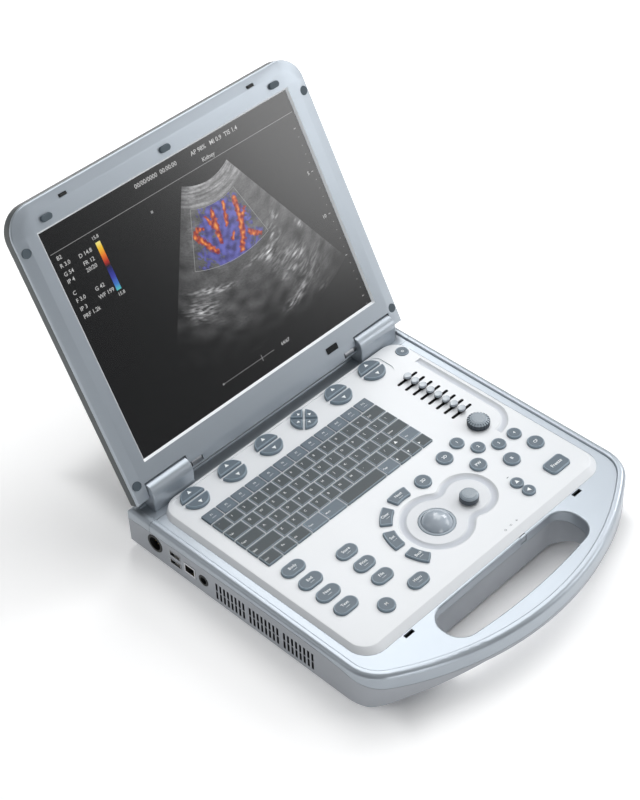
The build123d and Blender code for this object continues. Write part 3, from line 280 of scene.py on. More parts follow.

# Sheets of black open-cell foam behind the cooling slots of both side walls, put there as painted shade:
# they keep the slots dark. The cells, drawn about twice a real foam's size, swallow the light.
SHADE_SHEET_X_MM, SHADE_SHEET_DROP_MM, SHADE_SHEET_THICK_MM, SHADE_SHEET_HIGH_MM = 175.4, 28, 1.2, 23
SHADE_SHEET_FRONT_MM = -232.0
painted_shade_foam = moulded("black_painted_shade_foam", "#0B0C0D", 0.95, 1.6, 0.4)
for side, back_mm in ((-1, -104.0), (1, -146.0)):
    bpy.ops.mesh.primitive_cube_add(size=1, location=(0, 0, 0))
    dark_sheet = bpy.context.object
    dark_sheet.name = "left_painted_shade_sheet" if side < 0 else "right_painted_shade_sheet"
    middle_y = reference_y + (SHADE_SHEET_FRONT_MM + back_mm) / 2 * MM
    dark_sheet.data.transform(
        Matrix.Translation((side * SHADE_SHEET_X_MM * MM, middle_y, deck - SHADE_SHEET_DROP_MM * MM))
        @ Matrix.Diagonal((
            SHADE_SHEET_THICK_MM * MM, (back_mm - SHADE_SHEET_FRONT_MM) * MM, SHADE_SHEET_HIGH_MM * MM, 1)))
    bpy.ops.object.mode_set(mode="EDIT")
    bpy.ops.mesh.select_all(action="SELECT")
    bpy.ops.mesh.subdivide(number_cuts=2)
    bpy.ops.object.mode_set(mode="OBJECT")
    rounded = dark_sheet.modifiers.new("rounded", "BEVEL")
    rounded.width = 0.4 * MM
    bpy.ops.object.modifier_apply(modifier="rounded")
    fit(dark_sheet, "base", "inner_plastic", painted_shade_foam)

# ---- upper case ----
# The silver surround with the carrying handle moulded into its front, and the cap behind the joint
# line at the hinges. ABS with a satin metallic lacquer, which gives bright edges and soft gradients.
silver_paint = moulded(
    "silver_lacquered_abs", "#A9B1B9", 0.33, 0.35, 0.012, metallic=0.55, coat=0.2, spread=0.02)
top_housing = take("top_housing", "upper_case_surround")
keep_flat(top_housing)
fit(top_housing, "base", "silver_case", silver_paint, stands_for=("top_housing",))
rear_cap = take("rear_cap", "upper_case_rear_cap")
keep_flat(rear_cap)
fit(rear_cap, "base", "silver_case", silver_paint, stands_for=("rear_cap",))
hinge_covers = take("hinge_covers", "hinge_cover_barrels")
keep_flat(hinge_covers)
fit(hinge_covers, "base", "silver_case", silver_paint, stands_for=("hinge_covers",))
release = take("release_button", "lid_release_tongue")
keep_flat(release)
fit(release, "release_button", "silver_case", silver_paint, stands_for=("release_button",))

# ---- control deck ----
# The white panel that carries the controls, moulded in a satin white ABS with the groove round the
# trackball and the scoop beside the sliders pressed into it. It is screwed down from below.
# Smooth white ABS: even, with a soft sheen that brightens towards the lamps.
deck_white = moulded("white_satin_abs", "#E6E9EC", 0.32, 0.4, 0.01, coat=0.15, spread=0.01)
deck_panel = take("control_panel", "white_control_deck", angle=25)

# In the groove and the scoop the same ABS is painted greyer with depth: a painted shade.
GROOVE_MM, GREY_FROM_MM = 1.9, 0.6
groove_painted_shade = moulded("groove_painted_shade_abs", "#E6E9EC", 0.45, 0.4, 0.01, spread=0.01)
tree = groove_painted_shade.node_tree
where = add_node(tree, "ShaderNodeTexCoord")
parts = add_node(tree, "ShaderNodeSeparateXYZ", {"Vector": where.outputs["Object"]})
level = add_node(tree, "ShaderNodeMapRange", {
    "Value": parts.outputs["Z"], "From Min": deck - GROOVE_MM * MM, "From Max": deck - GREY_FROM_MM * MM})
depth_painted_shade = add_node(tree, "ShaderNodeMix", {"Factor": level.outputs["Result"]}, data_type="RGBA")
depth_painted_shade.inputs["A"].default_value = linear("#C3C8D0")
depth_painted_shade.inputs["B"].default_value = linear("#E6E9EC")
surface = next(node for node in tree.nodes if node.type == "BSDF_PRINCIPLED")
tree.links.new(depth_painted_shade.outputs["Result"], surface.inputs["Base Color"])

# The slider slots' walls are painted black: painted shade, which makes them look like a dark gap.
slot_wall_painted_shade = moulded("black_slot_wall_painted_shade", "#0A0B0C", 0.9, 0.3, 0.01)
fit(deck_panel, "base", "white_deck", deck_white, groove_painted_shade, slot_wall_painted_shade, stands_for=("control_panel",))

# Regions of the deck: left, right, front and back in millimetres.
BALL_GROOVE, SCOOP, SLIDER_SLOTS = (-45, 85, -265, -170), (115, 159, -205, -62), (110, 138, -136, -62)
PANEL_MM = 2.6


def lies_in(region, face):
    """Tells whether a face's middle is over a region of the deck."""
    across_mm, along_mm = face.center.x / MM, (face.center.y - reference_y) / MM
    left, right, front, back = region
    return left < across_mm < right and front < along_mm < back


# Sunk faces of the groove and the scoop take the painted shade, material 1.
for face in deck_panel.data.polygons:
    sunk = deck - PANEL_MM * MM < face.center.z < deck - 0.02 * MM and face.normal.z > 0.3
    if sunk and (lies_in(BALL_GROOVE, face) or lies_in(SCOOP, face)):
        face.material_index = 1
    # the slider slots' walls take the black painted shade, material 2
    if lies_in(SLIDER_SLOTS, face) and abs(face.normal.z) < 0.3 and face.center.z < deck:
        face.material_index = 2

# ---- keys ----
# Every key is a satin ABS cap with a raised rim round a slightly sunk top, and its legend is
# printed in white. They stand on rubber domes under the deck.
ROW_RIM_MM, ROW_SINK_MM = 0.45, 0.12
GROUP_RIM_MM, GROUP_SINK_MM = 0.5, 0.15

# Dark and mid grey ABS with a soft highlight, and rims painted paler and a little glossier: a painted highlight.
key_dark = moulded("dark_slate_key_abs", "#2C393F", 0.42, 0.3, 0.01, spread=0.04)
key_light = moulded("mid_grey_key_abs", "#5B6A76", 0.42, 0.3, 0.01, spread=0.04)
dark_key_rim_highlight = moulded("dark_key_painted_highlight_rim", "#74838C", 0.3, 0.3, 0.008)
grey_key_rim_highlight = moulded("grey_key_painted_highlight_rim", "#8494A0", 0.3, 0.3, 0.008)


def islands(piece):
    """The separate closed shells of a mesh, as lists of face numbers with their boxes."""
    shell = bmesh.new()
    shell.from_mesh(piece.data)
    left = set(shell.faces)
    found = []
    while left:
        group = [left.pop()]
        for face in group:
            for edge in face.edges:
                for other in edge.link_faces:
                    if other in left:
                        left.discard(other)
                        group.append(other)
        spots = [corner.co for face in group for corner in face.verts]
        low = Vector([min(spot[i] for spot in spots) for i in range(3)])
        high = Vector([max(spot[i] for spot in spots) for i in range(3)])
        found.append(([face.index for face in group], low, high))
    shell.free()
    return found


def dished(piece, rim_mm, sink_mm):
    """Insets every key's top and sinks it a little, and returns the numbers of the sunk faces."""
    top = max(vertex.co.z for vertex in piece.data.vertices)
    bpy.ops.object.select_all(action="DESELECT")
    bpy.context.view_layer.objects.active = piece
    piece.select_set(True)
    for face in piece.data.polygons:
        face.select = face.normal.z > 0.99 and face.center.z > top - 0.02 * MM
    bpy.ops.object.mode_set(mode="EDIT")
    bpy.ops.mesh.select_mode(type="FACE")
    bpy.ops.mesh.dissolve_limited(angle_limit=0.01)
    bpy.ops.mesh.inset(thickness=rim_mm * MM, depth=0)
    bpy.ops.mesh.inset(thickness=sink_mm * MM, depth=-sink_mm * MM)
    bpy.ops.object.mode_set(mode="OBJECT")
    return [face.index for face in piece.data.polygons if face.select]


# Keys are counted from the left, and those of one column from the rear, by this share of their y.
COLUMN_ORDER = 0.01


def paint_keys(piece, tops, choose):
    """Gives each shell its rim and top materials: choose says from its number whether it is light."""
    tops = set(tops)
    shells = sorted(
        islands(piece), key=lambda shell: shell[1].x + shell[2].x - COLUMN_ORDER * shell[1].y)
    # the rims and sides take the painted highlight, the sunk tops the caps' own colours
    for number, (faces, _, _) in enumerate(shells):
        light = choose(number)
        for face in faces:
            piece.data.polygons[face].material_index = 2 * int(light) + (face in tops)
    return shells


key_boxes = {}
light_in_row = {
    "function_row": range(12), "number_row": (), "upper_letter_row": (),
    "middle_letter_row": (), "lower_letter_row": (12,), "space_row": (3, 4, 6)}
for row, light_ones in light_in_row.items():
    caps = take(row, row + "_caps")
    tops = dished(caps, ROW_RIM_MM, ROW_SINK_MM)
    key_boxes[row] = paint_keys(caps, tops, lambda number: number in light_ones)
    fit(caps, row, "light_keys" if row == "function_row" else "dark_keys",
        dark_key_rim_highlight, key_dark, grey_key_rim_highlight, key_light, stands_for=(row,))
for group in (
        "soft_keys_rear", "soft_keys_front", "cursor_keys", "arc_keys", "oval_keys",
        "large_round_keys", "small_round_keys", "adjust_keys", "power_key", "freeze_key"):
    caps = take(group, group + "_caps")
    tops = dished(caps, GROUP_RIM_MM, GROUP_SINK_MM)
    key_boxes[group] = paint_keys(caps, tops, lambda number: True)
    fit(caps, group, "light_keys", dark_key_rim_highlight, key_dark, grey_key_rim_highlight, key_light, stands_for=(group,))

# White ribs of the deck stand between the keyboard's caps, a fingernail's thickness below their tops.
RIB_MM, RIB_RISE_MM, RIB_FOOT_MM, RIB_ROUND_MM = 0.62, 1.75, 0.5, 0.15
ribs = []


def joined(marks, name):
    """Joins meshes into one named piece."""
    bpy.ops.object.select_all(action="DESELECT")
    for mark in marks:
        mark.select_set(True)
    bpy.context.view_layer.objects.active = marks[0]
    bpy.ops.object.join()
    piece = bpy.context.object
    piece.name = name
    piece.data.materials.clear()
    return piece


def rib(x0, x1, y0, y1):
    """A rounded rib over a rectangle of the deck, in metres."""
    bpy.ops.mesh.primitive_cube_add(size=1)
    bar = bpy.context.object
    bar.data.transform(
        Matrix.Translation(((x0 + x1) / 2, (y0 + y1) / 2, deck + (RIB_RISE_MM - RIB_FOOT_MM) / 2 * MM))
        @ Matrix.Diagonal((x1 - x0, y1 - y0, (RIB_RISE_MM + RIB_FOOT_MM) * MM, 1)))
    ribs.append(bar)


rows_down = [shells for row, shells in key_boxes.items() if row in light_in_row]
for upper, lower in zip(rows_down, rows_down[1:]):
    middle = (upper[0][1].y + lower[0][2].y) / 2
    rib(lower[0][1].x, lower[-1][2].x, middle - RIB_MM / 2 * MM, middle + RIB_MM / 2 * MM)
for shells in rows_down:
    for (_, low, high), (_, next_low, _) in zip(shells, shells[1:]):
        middle = (high.x + next_low.x) / 2
        rib(middle - RIB_MM / 2 * MM, middle + RIB_MM / 2 * MM, low.y, high.y)
web = joined(ribs, "keyboard_web")
rounded = web.modifiers.new("rounded", "BEVEL")
rounded.width = RIB_ROUND_MM * MM
bpy.ops.object.modifier_apply(modifier="rounded")
fit(web, "base", "white_deck", deck_white)

# ---- key legends ----
# White pad printing on the caps: plain letters, digits, arrows and short words. The film of ink has
# crisp edges and a soft sheen, and it moves with its key.
legend_ink = moulded("white_pad_printing_ink", "#F4F7F8", 0.55, 0.6, 0.002)
ARROWS = {"up": 90, "left": 180, "down": 270, "right": 0}
ARROW_SHARE, INK_SPREAD, LINE_SHARE = 0.62, 0.009, 0.85


def printed(words, size_mm, x, y, z, align="CENTER"):
    """Flat letters, or an arrow where the words name one, made a mesh and laid at a place."""
    if words in ARROWS:
        bpy.ops.mesh.primitive_circle_add(vertices=3, radius=size_mm * ARROW_SHARE * MM, fill_type="NGON")
        mark = bpy.context.object
        mark.data.transform(Matrix.Rotation(math.radians(ARROWS[words] - 90), 4, "Z"))
    else:
        bpy.ops.object.text_add()
        mark = bpy.context.object
        mark.data.body = words
        mark.data.size = size_mm * MM
        mark.data.align_x = align
        mark.data.align_y = "CENTER"
        mark.data.space_line = LINE_SHARE
        mark.data.resolution_u = 2
        mark.data.offset = INK_SPREAD * mark.data.size
        bpy.ops.object.convert(target="MESH")
        mark = bpy.context.object
    mark.data.transform(Matrix.Translation((x, y, z)))
    return mark


# For each group: the letters' height, how far across the cap they stand, and the words.
INK_MM = 0.03
WORD_INSET_MM, WORD_SHARE, LETTER_UP = 1.6, 0.82, 0.62
DASHES, DASH_MM, DASH_DROP_MM, WORD_LIFT_MM = "-" * 5, 3.0, 2.2, 1.3
LEGENDS = {
    "function_row": (2.9, 0.5, [f"F{number}" for number in range(1, 13)]),
    "number_row": (3.6, 0.36, [*"`1234567890-=", "Del"]),
    "upper_letter_row": (3.6, 0.36, ["Tab", *"QWERTYUIOP[]\\"]),
    "middle_letter_row": (3.6, 0.36, ["Caps", *"ASDFGHJKL;'", "Enter"]),
    "lower_letter_row": (3.6, 0.36, ["Shift", *"ZXCVBNM,./", "up", "Ins"]),
    "space_row": (3.4, 0.42, ["Ctrl", "Fn", "Alt", "Text", "Mark", "", "Page", "left", "down", "right"]),
    "soft_keys_rear": (4.2, 0.5, ["up"] * 5),
    "soft_keys_front": (4.2, 0.5, ["down"] * 5),
    "cursor_keys": (3.2, 0.5, ["left", "up", "down", "right"]),
    "arc_keys": (4.2, 0.5, ["Set", "Back", "Clear", "Next"]),
    "oval_keys": (4.3, 0.5, ["Body", "End", "New", "Text", "Store", "Print", "File", "Menu"]),
    "large_round_keys": (4.6, 0.5, ["M", "2D", "3D", "PW", "B", "CF"]),
    "small_round_keys": (4.2, 0.5, ["1", "2", "3", "4"]),
    "adjust_keys": (4.2, 0.5, ["left", "up"]),
    "freeze_key": (5.2, 0.5, ["Freeze"])}
for group, (size_mm, across, words) in LEGENDS.items():
    marks = []
    for (_, low, high), word in zip(key_boxes[group], words):
        if not word:
            continue
        wide = len(word) > 2 and across < 0.5
        x = low.x + (WORD_INSET_MM * MM if wide else (high.x - low.x) * across)
        y = low.y + (high.y - low.y) * (0.5 if across == 0.5 or wide else LETTER_UP)
        height_mm = size_mm * (WORD_SHARE if wide else 1)
        marks.append(printed(word, height_mm, x, y, 0, "LEFT" if wide else "CENTER"))
        if group in ("function_row", "oval_keys", "arc_keys"):
            marks[-1].data.transform(Matrix.Translation((0, WORD_LIFT_MM * MM, 0)))
            marks.append(printed(DASHES, DASH_MM, x, y - DASH_DROP_MM * MM, 0))
    legend = joined(marks, group + "_legends")
    top = max(vertex.co.z for vertex in frame["nodes"][group].data.vertices)
    slot = "dark_keys" if group.endswith("_row") and group != "function_row" else "light_keys"
    sink_mm = ROW_SINK_MM if group.endswith("_row") else GROUP_SINK_MM
    legend.data.transform(Matrix.Translation((0, 0, top + (INK_MM - sink_mm) * MM)))
    fit(legend, group, slot, legend_ink)

power_low, power_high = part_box("power_key")
power_ring = printed(
    "o", 6.0, (power_low.x + power_high.x) / 2, (power_low.y + power_high.y) / 2, power_high.z - 0.1 * MM)
power_mark = joined([power_ring], "power_key_mark")
fit(power_mark, "power_key", "light_keys", legend_ink)

# Grey screen prints on the deck, which look thin and matt: a dash by the adjusting keys and three
# small state marks over the release. Places are in millimetres across and along the deck.
STATE_Y_MM, STATE_STEP_MM, STATE_SIZE_MM = -266, 8, 5.0
DASH_X_MM, DASH_Y_MM, DASH_SIZE_MM = 83.5, -224, 9.0
deck_ink = moulded("grey_screen_printing_ink", "#7F868B", 0.5, 0.6, 0.002)
release_low, release_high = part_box("release_button")
release_x = (release_low.x + release_high.x) / 2
ink_z = deck + INK_MM * MM
prints = [
    printed(mark, STATE_SIZE_MM, release_x + step * STATE_STEP_MM * MM, reference_y + STATE_Y_MM * MM, ink_z)
    for mark, step in (("o", -1), ("=", 0), ("+", 1))]
prints.append(printed("-", DASH_SIZE_MM, DASH_X_MM * MM, reference_y + DASH_Y_MM * MM, ink_z))
deck_prints = joined(prints, "deck_prints")
fit(deck_prints, "base", "white_deck", deck_ink)

# ---- trackball ----
# A cast phenolic ball that rolls in a cup under the deck, held down by a satin grey ABS ring. It is
# ground and polished, so it mirrors the lamps as small clear spots.
ball_gloss = moulded("polished_grey_phenolic", "#B0BAC4", 0.13, 1.2, 0.002, coat=0.8, spread=0.02)
ball_low, ball_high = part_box("trackball")
bpy.ops.mesh.primitive_uv_sphere_add(
    segments=64, ring_count=40, radius=(ball_high.x - ball_low.x) / 2, location=(ball_low + ball_high) / 2)
ball = bpy.context.object
ball.name = "trackball_polished"
bpy.ops.object.transform_apply(location=True, rotation=True, scale=True)
bpy.ops.object.shade_smooth()
fit(ball, "trackball", "ball", ball_gloss, stands_for=("trackball",))

# The ring is the same ABS as the keys in a paler grey, with a soft highlight round its curve.
ring_grey = moulded("trackball_ring_abs", "#98A4AE", 0.35, 0.3, 0.01)
ring = take("trackball_ring", "trackball_retaining_ring")
keep_flat(ring)
fit(ring, "base", "light_keys", ring_grey, stands_for=("trackball_ring",))

# ---- knobs ----
# Two moulded ABS knobs pushed onto encoder shafts. The gain knob has a fluted skirt for the fingers,
# the select knob a plain one, and both have a paler satin inlay pressed into the top. The shoulders'
# upward faces are painted paler: a painted highlight.
knob_grey = moulded("dark_satin_knob_abs", "#424B54", 0.33, 0.5, 0.01)
knob_cap = moulded("pale_satin_knob_inlay", "#8B969F", 0.28, 0.5, 0.008, coat=0.2)
knob_shoulder_highlight = moulded("knob_shoulder_painted_highlight", "#9AA5AE", 0.3, 0.5, 0.01)


def lathe(name, centre, profile_mm, segments):
    """A closed turned shape about an upright axis from (radius, height) pairs in millimetres."""
    shape = bmesh.new()
    rings = []
    for radius, height in profile_mm:
        rings.append([shape.verts.new((
            centre.x + radius * MM * math.cos(2 * math.pi * step / segments),
            centre.y + radius * MM * math.sin(2 * math.pi * step / segments),
            centre.z + height * MM)) for step in range(segments)])
    for below, above in zip(rings, rings[1:]):
        for step in range(segments):
            after = (step + 1) % segments
            shape.faces.new((below[step], below[after], above[after], above[step]))
    shape.faces.new(list(reversed(rings[0])))
    shape.faces.new(rings[-1])
    mesh = bpy.data.meshes.new(name)
    shape.to_mesh(mesh)
    shape.free()
    piece = bpy.data.objects.new(name, mesh)
    bpy.context.scene.collection.objects.link(piece)
    bpy.ops.object.select_all(action="DESELECT")
    bpy.context.view_layer.objects.active = piece
    piece.select_set(True)
    return piece


# The gain knob's 22 flutes are two facets wide, with two between them.
FACETS_PER_FLUTE, FLUTED_FACETS, PLAIN_FACETS = 4, 88, 64
FLUTE_EDGE_MM, FLUTE_NARROWING_MM, FLUTE_DEPTH_MM, FLUTE_MARGIN_MM = 0.12, 0.1, 0.75, 0.8
for name, fluted in (("gain_knob", True), ("select_knob", False)):
    low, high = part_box(name)
    centre = Vector(((low.x + high.x) / 2, (low.y + high.y) / 2, deck))
    outer = (high.x - low.x) / 2 / MM
    rise = (high.z - deck) / MM
    shoulder = 0.72 if fluted else 0.84
    facets = FLUTED_FACETS if fluted else PLAIN_FACETS

    # the solid knob inside is drawn in a little, so that only the sleeve and the inlay show
    knob = take(name, name + "_skirt")
    for vertex in knob.data.vertices:
        if vertex.co.z > deck - 0.2 * MM:
            vertex.co.x = centre.x + (vertex.co.x - centre.x) * shoulder * 0.9
            vertex.co.y = centre.y + (vertex.co.y - centre.y) * shoulder * 0.9
            vertex.co.z = min(vertex.co.z, high.z - 1.2 * MM)

    skirt = lathe(name + "_sleeve", centre, (
        (outer * 0.96, 0.5), (outer * 0.995, 0.8), (outer, rise * 0.62), (outer * 0.97, rise * 0.72),
        (outer * shoulder, rise - 0.7), (outer * (shoulder - 0.05), rise - 0.5)), facets)
    if fluted:
        foot, head = deck + FLUTE_MARGIN_MM * MM, high.z - FLUTE_MARGIN_MM * MM
        for face in skirt.data.polygons:
            turn = math.atan2(face.center.y - centre.y, face.center.x - centre.x) / (2 * math.pi)
            upright = abs(face.normal.z) < 0.95 and foot < face.center.z < head
            face.select = upright and int(turn * facets % FACETS_PER_FLUTE) in (0, 1)
        bpy.ops.object.mode_set(mode="EDIT")
        bpy.ops.mesh.select_mode(type="FACE")
        bpy.ops.mesh.inset(thickness=FLUTE_EDGE_MM * MM, depth=0)
        bpy.ops.mesh.inset(thickness=FLUTE_NARROWING_MM * MM, depth=-FLUTE_DEPTH_MM * MM)
        bpy.ops.object.mode_set(mode="OBJECT")
    bpy.ops.object.shade_smooth_by_angle(angle=math.radians(28))

    inlay = lathe(name + "_inlay", centre, (
        (outer * (shoulder - 0.06), rise - 1.4), (outer * (shoulder - 0.06), rise - 0.45),
        (outer * (shoulder - 0.1), rise - 0.12), (outer * (shoulder - 0.18), rise - 0.02),
        (outer * (shoulder - 0.22), rise - 0.14), (outer * 0.3, rise - 0.05), (outer * 0.02, rise)),
        PLAIN_FACETS)
    bpy.ops.object.shade_smooth_by_angle(angle=math.radians(40))
    fit(knob, name, "knobs", knob_grey, stands_for=(name,))
    fit(skirt, name, "knobs", knob_grey, knob_shoulder_highlight)
    # the sleeve's upper, upward-facing faces take the painted highlight
    for face in skirt.data.polygons:
        face.material_index = int(face.center.z > deck + (rise * 0.7) * MM and face.normal.z > 0.3)
    fit(inlay, name, "knobs", knob_cap)

# ---- time gain sliders ----
# Eight slide potentiometers under the deck. Each lever ends in a dark satin ABS wedge with a pale
# acrylic button glued on it, which is polished and catches a small bright spot.
BUTTON_MM = 2.1
slider_gloss = moulded("polished_pale_acrylic_button", "#AAB3BB", 0.18, 0.5, 0.004, coat=0.6)
slider_dark = moulded("dark_slider_wedge_abs", "#14181B", 0.4, 0.5, 0.01)
for number in range(1, 9):
    node = f"gain_slider_{number}"
    slider = take(node, node + "_lever")
    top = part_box(node)[1].z
    for face in slider.data.polygons:
        face.material_index = int(face.center.z > top - BUTTON_MM * MM)
    fit(slider, node, "slider_caps", slider_dark, slider_gloss, stands_for=(node,))

# A thin lip of the wedges' dark ABS stands round each lever's slot in the deck.
SLIDER_SLOT_X, SLOT_LONG_MM, SLOT_WIDE_MM, LIP_MM, LIP_RISE_MM = 123.8, 26.8, 2.0, 0.55, 0.25
LIP_CORNERS = 24
lips = []
for number in range(1, 9):
    low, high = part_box(f"gain_slider_{number}")
    half_wide = SLOT_WIDE_MM / 2 + LIP_MM
    bpy.ops.mesh.primitive_circle_add(
        vertices=LIP_CORNERS, radius=half_wide, fill_type="NGON", rotation=(0, 0, math.pi / LIP_CORNERS))
    lip = bpy.context.object
    bpy.ops.object.transform_apply(location=True, rotation=True, scale=True)
    for corner in lip.data.vertices:
        corner.co.x += math.copysign((SLOT_LONG_MM - SLOT_WIDE_MM) / 2, corner.co.x)
    bpy.ops.object.mode_set(mode="EDIT")
    bpy.ops.mesh.select_all(action="SELECT")
    bpy.ops.mesh.inset(thickness=LIP_MM)
    bpy.ops.mesh.delete(type="FACE")
    bpy.ops.mesh.select_all(action="SELECT")
    bpy.ops.mesh.extrude_region_move(TRANSFORM_OT_translate={"value": (0, 0, LIP_RISE_MM)})
    bpy.ops.mesh.select_all(action="SELECT")
    bpy.ops.mesh.normals_make_consistent(inside=False)
    bpy.ops.object.mode_set(mode="OBJECT")
    lip.data.transform(Matrix.Translation((SLIDER_SLOT_X * MM, (low.y + high.y) / 2, deck + 0.02 * MM))
                       @ Matrix.Scale(MM, 4))
    lips.append(lip)
slot_lips = joined(lips, "slider_slot_lips")
fit(slot_lips, "base", "slider_caps", slider_dark)

# ---- lid ----
# The lid is two ABS mouldings clipped and screwed together round the display: a silver lacquered bezel
# in front, with rubber bumpers and screw covers, and a dark slate shell behind. The bezel's chamfer
# down to the glass is painted near white and a little glossier: a painted highlight, a thin bright line.
bezel = take("lid_bezel", "lid_bezel_frame")
keep_flat(bezel)
chamfer_highlight = moulded("chamfer_painted_highlight_lacquer", "#F1F4F7", 0.22, 0.35, 0.004, coat=0.4, spread=0.01)
fit(bezel, "lid", "silver_case", silver_paint, chamfer_highlight, stands_for=("lid_bezel",))

# The display's picture has its own millimetres: across and up from its corner, and out of the glass.
SCREEN_WIDTH, PICTURE_HEIGHT, SCREEN_START, GLASS_TOP = 304.1, 228.1, 30.5, 3.0
CHAMFER_WIDE, CHAMFER_DEEP = 3, 2.6
lean = math.radians(lid_hinge["range_deg"][1])
up_lid = Vector((0, -math.cos(lean), math.sin(lean)))
out_of_lid = Vector((0, -math.sin(lean), -math.cos(lean)))
picture = Matrix.Translation(hinge) @ Matrix((
    (1, 0, 0, 0), (0, up_lid.y, out_of_lid.y, 0), (0, up_lid.z, out_of_lid.z, 0), (0, 0, 0, 1))) \
    @ Matrix.Diagonal((MM, MM, MM, 1)) @ Matrix.Translation((-SCREEN_WIDTH / 2, SCREEN_START, GLASS_TOP))
to_picture = picture.inverted()
# faces of the chamfer round the glass take the painted highlight, material 1
for face in bezel.data.polygons:
    spot = to_picture @ face.center
    tilt = face.normal.dot(out_of_lid)
    beside = (-CHAMFER_WIDE < spot.x < SCREEN_WIDTH + CHAMFER_WIDE
              and -CHAMFER_WIDE < spot.y < PICTURE_HEIGHT + CHAMFER_WIDE)
    if beside and 0.4 < tilt < 0.8 and 0 < spot.z < CHAMFER_DEEP:
        face.material_index = 1

# Slate ABS with a fine texture, which reads as a dark blue grey with a broad sheen.
shell_dark = moulded("dark_slate_abs", "#2C3537", 0.4, 0.4, 0.02, coat=0.1)
back_shell = take("lid_back_shell", "lid_back_cover")
keep_flat(back_shell)
fit(back_shell, "lid", "lid_shell", shell_dark, stands_for=("lid_back_shell",))

# Rubber is dull and never quite black, and the indicator's window is a small glossy dark spot.
rubber_dark = moulded("dark_rubber", "#46525A", 0.6, 0.4, 0.02)
bumpers = take("lid_bumpers", "lid_rubber_bumpers")
fit(bumpers, "lid", "rubber", rubber_dark, stands_for=("lid_bumpers",))
covers = take("screw_covers", "lid_screw_covers")
fit(covers, "lid", "silver_case", rubber_dark, stands_for=("screw_covers",))
black_gloss = moulded("black_gloss_abs", "#15181A", 0.2, 0.4, 0.005)
window = take("indicator_window", "indicator_lens")
fit(window, "lid", "inner_plastic", black_gloss, stands_for=("indicator_window",))

# ---- display ----
# A 4:3 liquid crystal panel behind matt glass. It shows a curved-array scan of a kidney-like organ
# with a colour flow window, a colour scale, plain figures and depth marks, all lit from behind.

# Matt etched glass scatters what it mirrors into a faint haze over the picture, which glows through it.
GLOW = 0.9


def lit(name, kind):
    """Display glass that glows: kind is a colour in hex, or COLOUR for the mesh's own colours."""
    material, tree, output = new_material(name)
    where = add_node(tree, "ShaderNodeTexCoord")
    etch = add_node(tree, "ShaderNodeTexNoise", {"Vector": where.outputs["Object"], "Scale": 2500.0})
    matt = add_node(tree, "ShaderNodeMapRange", {
        "Value": etch.outputs["Fac"], "From Min": 0.3, "From Max": 0.7, "To Min": 0.19, "To Max": 0.24})
    surface = add_node(tree, "ShaderNodeBsdfPrincipled", {
        "Base Color": linear("#0A0A0A"), "Roughness": matt.outputs["Result"], "Specular IOR Level": 0.9,
        "Emission Strength": GLOW})
    if kind == "COLOUR":
        echo = add_node(tree, "ShaderNodeAttribute", attribute_name="echo")
        tree.links.new(echo.outputs["Color"], surface.inputs["Emission Color"])
    else:
        surface.inputs["Emission Color"].default_value = linear(kind)
    tree.links.new(surface.outputs["BSDF"], output.inputs["Surface"])
    return material


SHEET_MM, LINES_MM = 0.04, 0.07


def painted(name, corners, colours, faces, height_mm):
    """A sheet in picture millimetres with a colour for each corner, put in its place on the lid."""
    mesh = bpy.data.meshes.new(name)
    mesh.from_pydata([(x, y, height_mm) for x, y in corners], [], faces)
    mesh.transform(picture)
    attribute = mesh.color_attributes.new("echo", "FLOAT_COLOR", "POINT")
    for spot, colour in zip(attribute.data, colours):
        spot.color = (*colour, 1.0)
    sheet = bpy.data.objects.new(name, mesh)
    bpy.context.scene.collection.objects.link(sheet)
    return sheet


glass = take("screen_glass", "display_glass")
fit(glass, "lid", "screen", lit("matt_display_glass", "#040404"), stands_for=("screen_glass",))

# The scan is a fan round an apex above the picture: depths are in picture millimetres from the apex,
# angles in degrees from straight down. Echoes fall off with depth, in layers of skin and muscle
# down to a bright boundary, and in streaks of tissue below it.
APEX_X, APEX_Y = 182.7, 248.1
NEAR, FAR, HALF_FAN = 56.5, 224.0, 30.3
BOUNDARY, LAYERS_FADE, TISSUE_FADE = 77, 34, 190
SHADOW_START, SHADOW_GROWS = 160, 40
BOX_NEAR, BOX_FAR, BOX_LEFT, BOX_RIGHT = 78.0, 135.0, -22.7, 17.6

# Each vessel's points: across and up in picture millimetres, and half its width.
VESSELS = (
    ((157, 154, 1.4), (150, 156, 2.4), (146, 151, 2.6), (152, 143, 2.6), (157, 135, 2.6), (162, 128, 2.0)),
    ((174, 166, 1.6), (172, 156, 3.0), (171, 144, 2.6), (170, 134, 2.0)),
    ((165, 162, 1.6), (168, 154, 2.2), (171, 146, 1.8)),
    ((189, 166, 1.8), (186, 155, 2.0), (183, 145, 1.6)),
    ((202, 164, 2.4), (201, 151, 2.8), (198, 137, 3.0), (194, 126, 2.8), (188, 118, 2.4)),
    ((209, 152, 1.3), (203, 145, 1.8), (199, 139, 1.8)),
    ((203, 129, 2.4), (208, 125, 2.6), (214, 122, 1.8)),
    ((187, 136, 1.4), (183, 131, 1.4)))
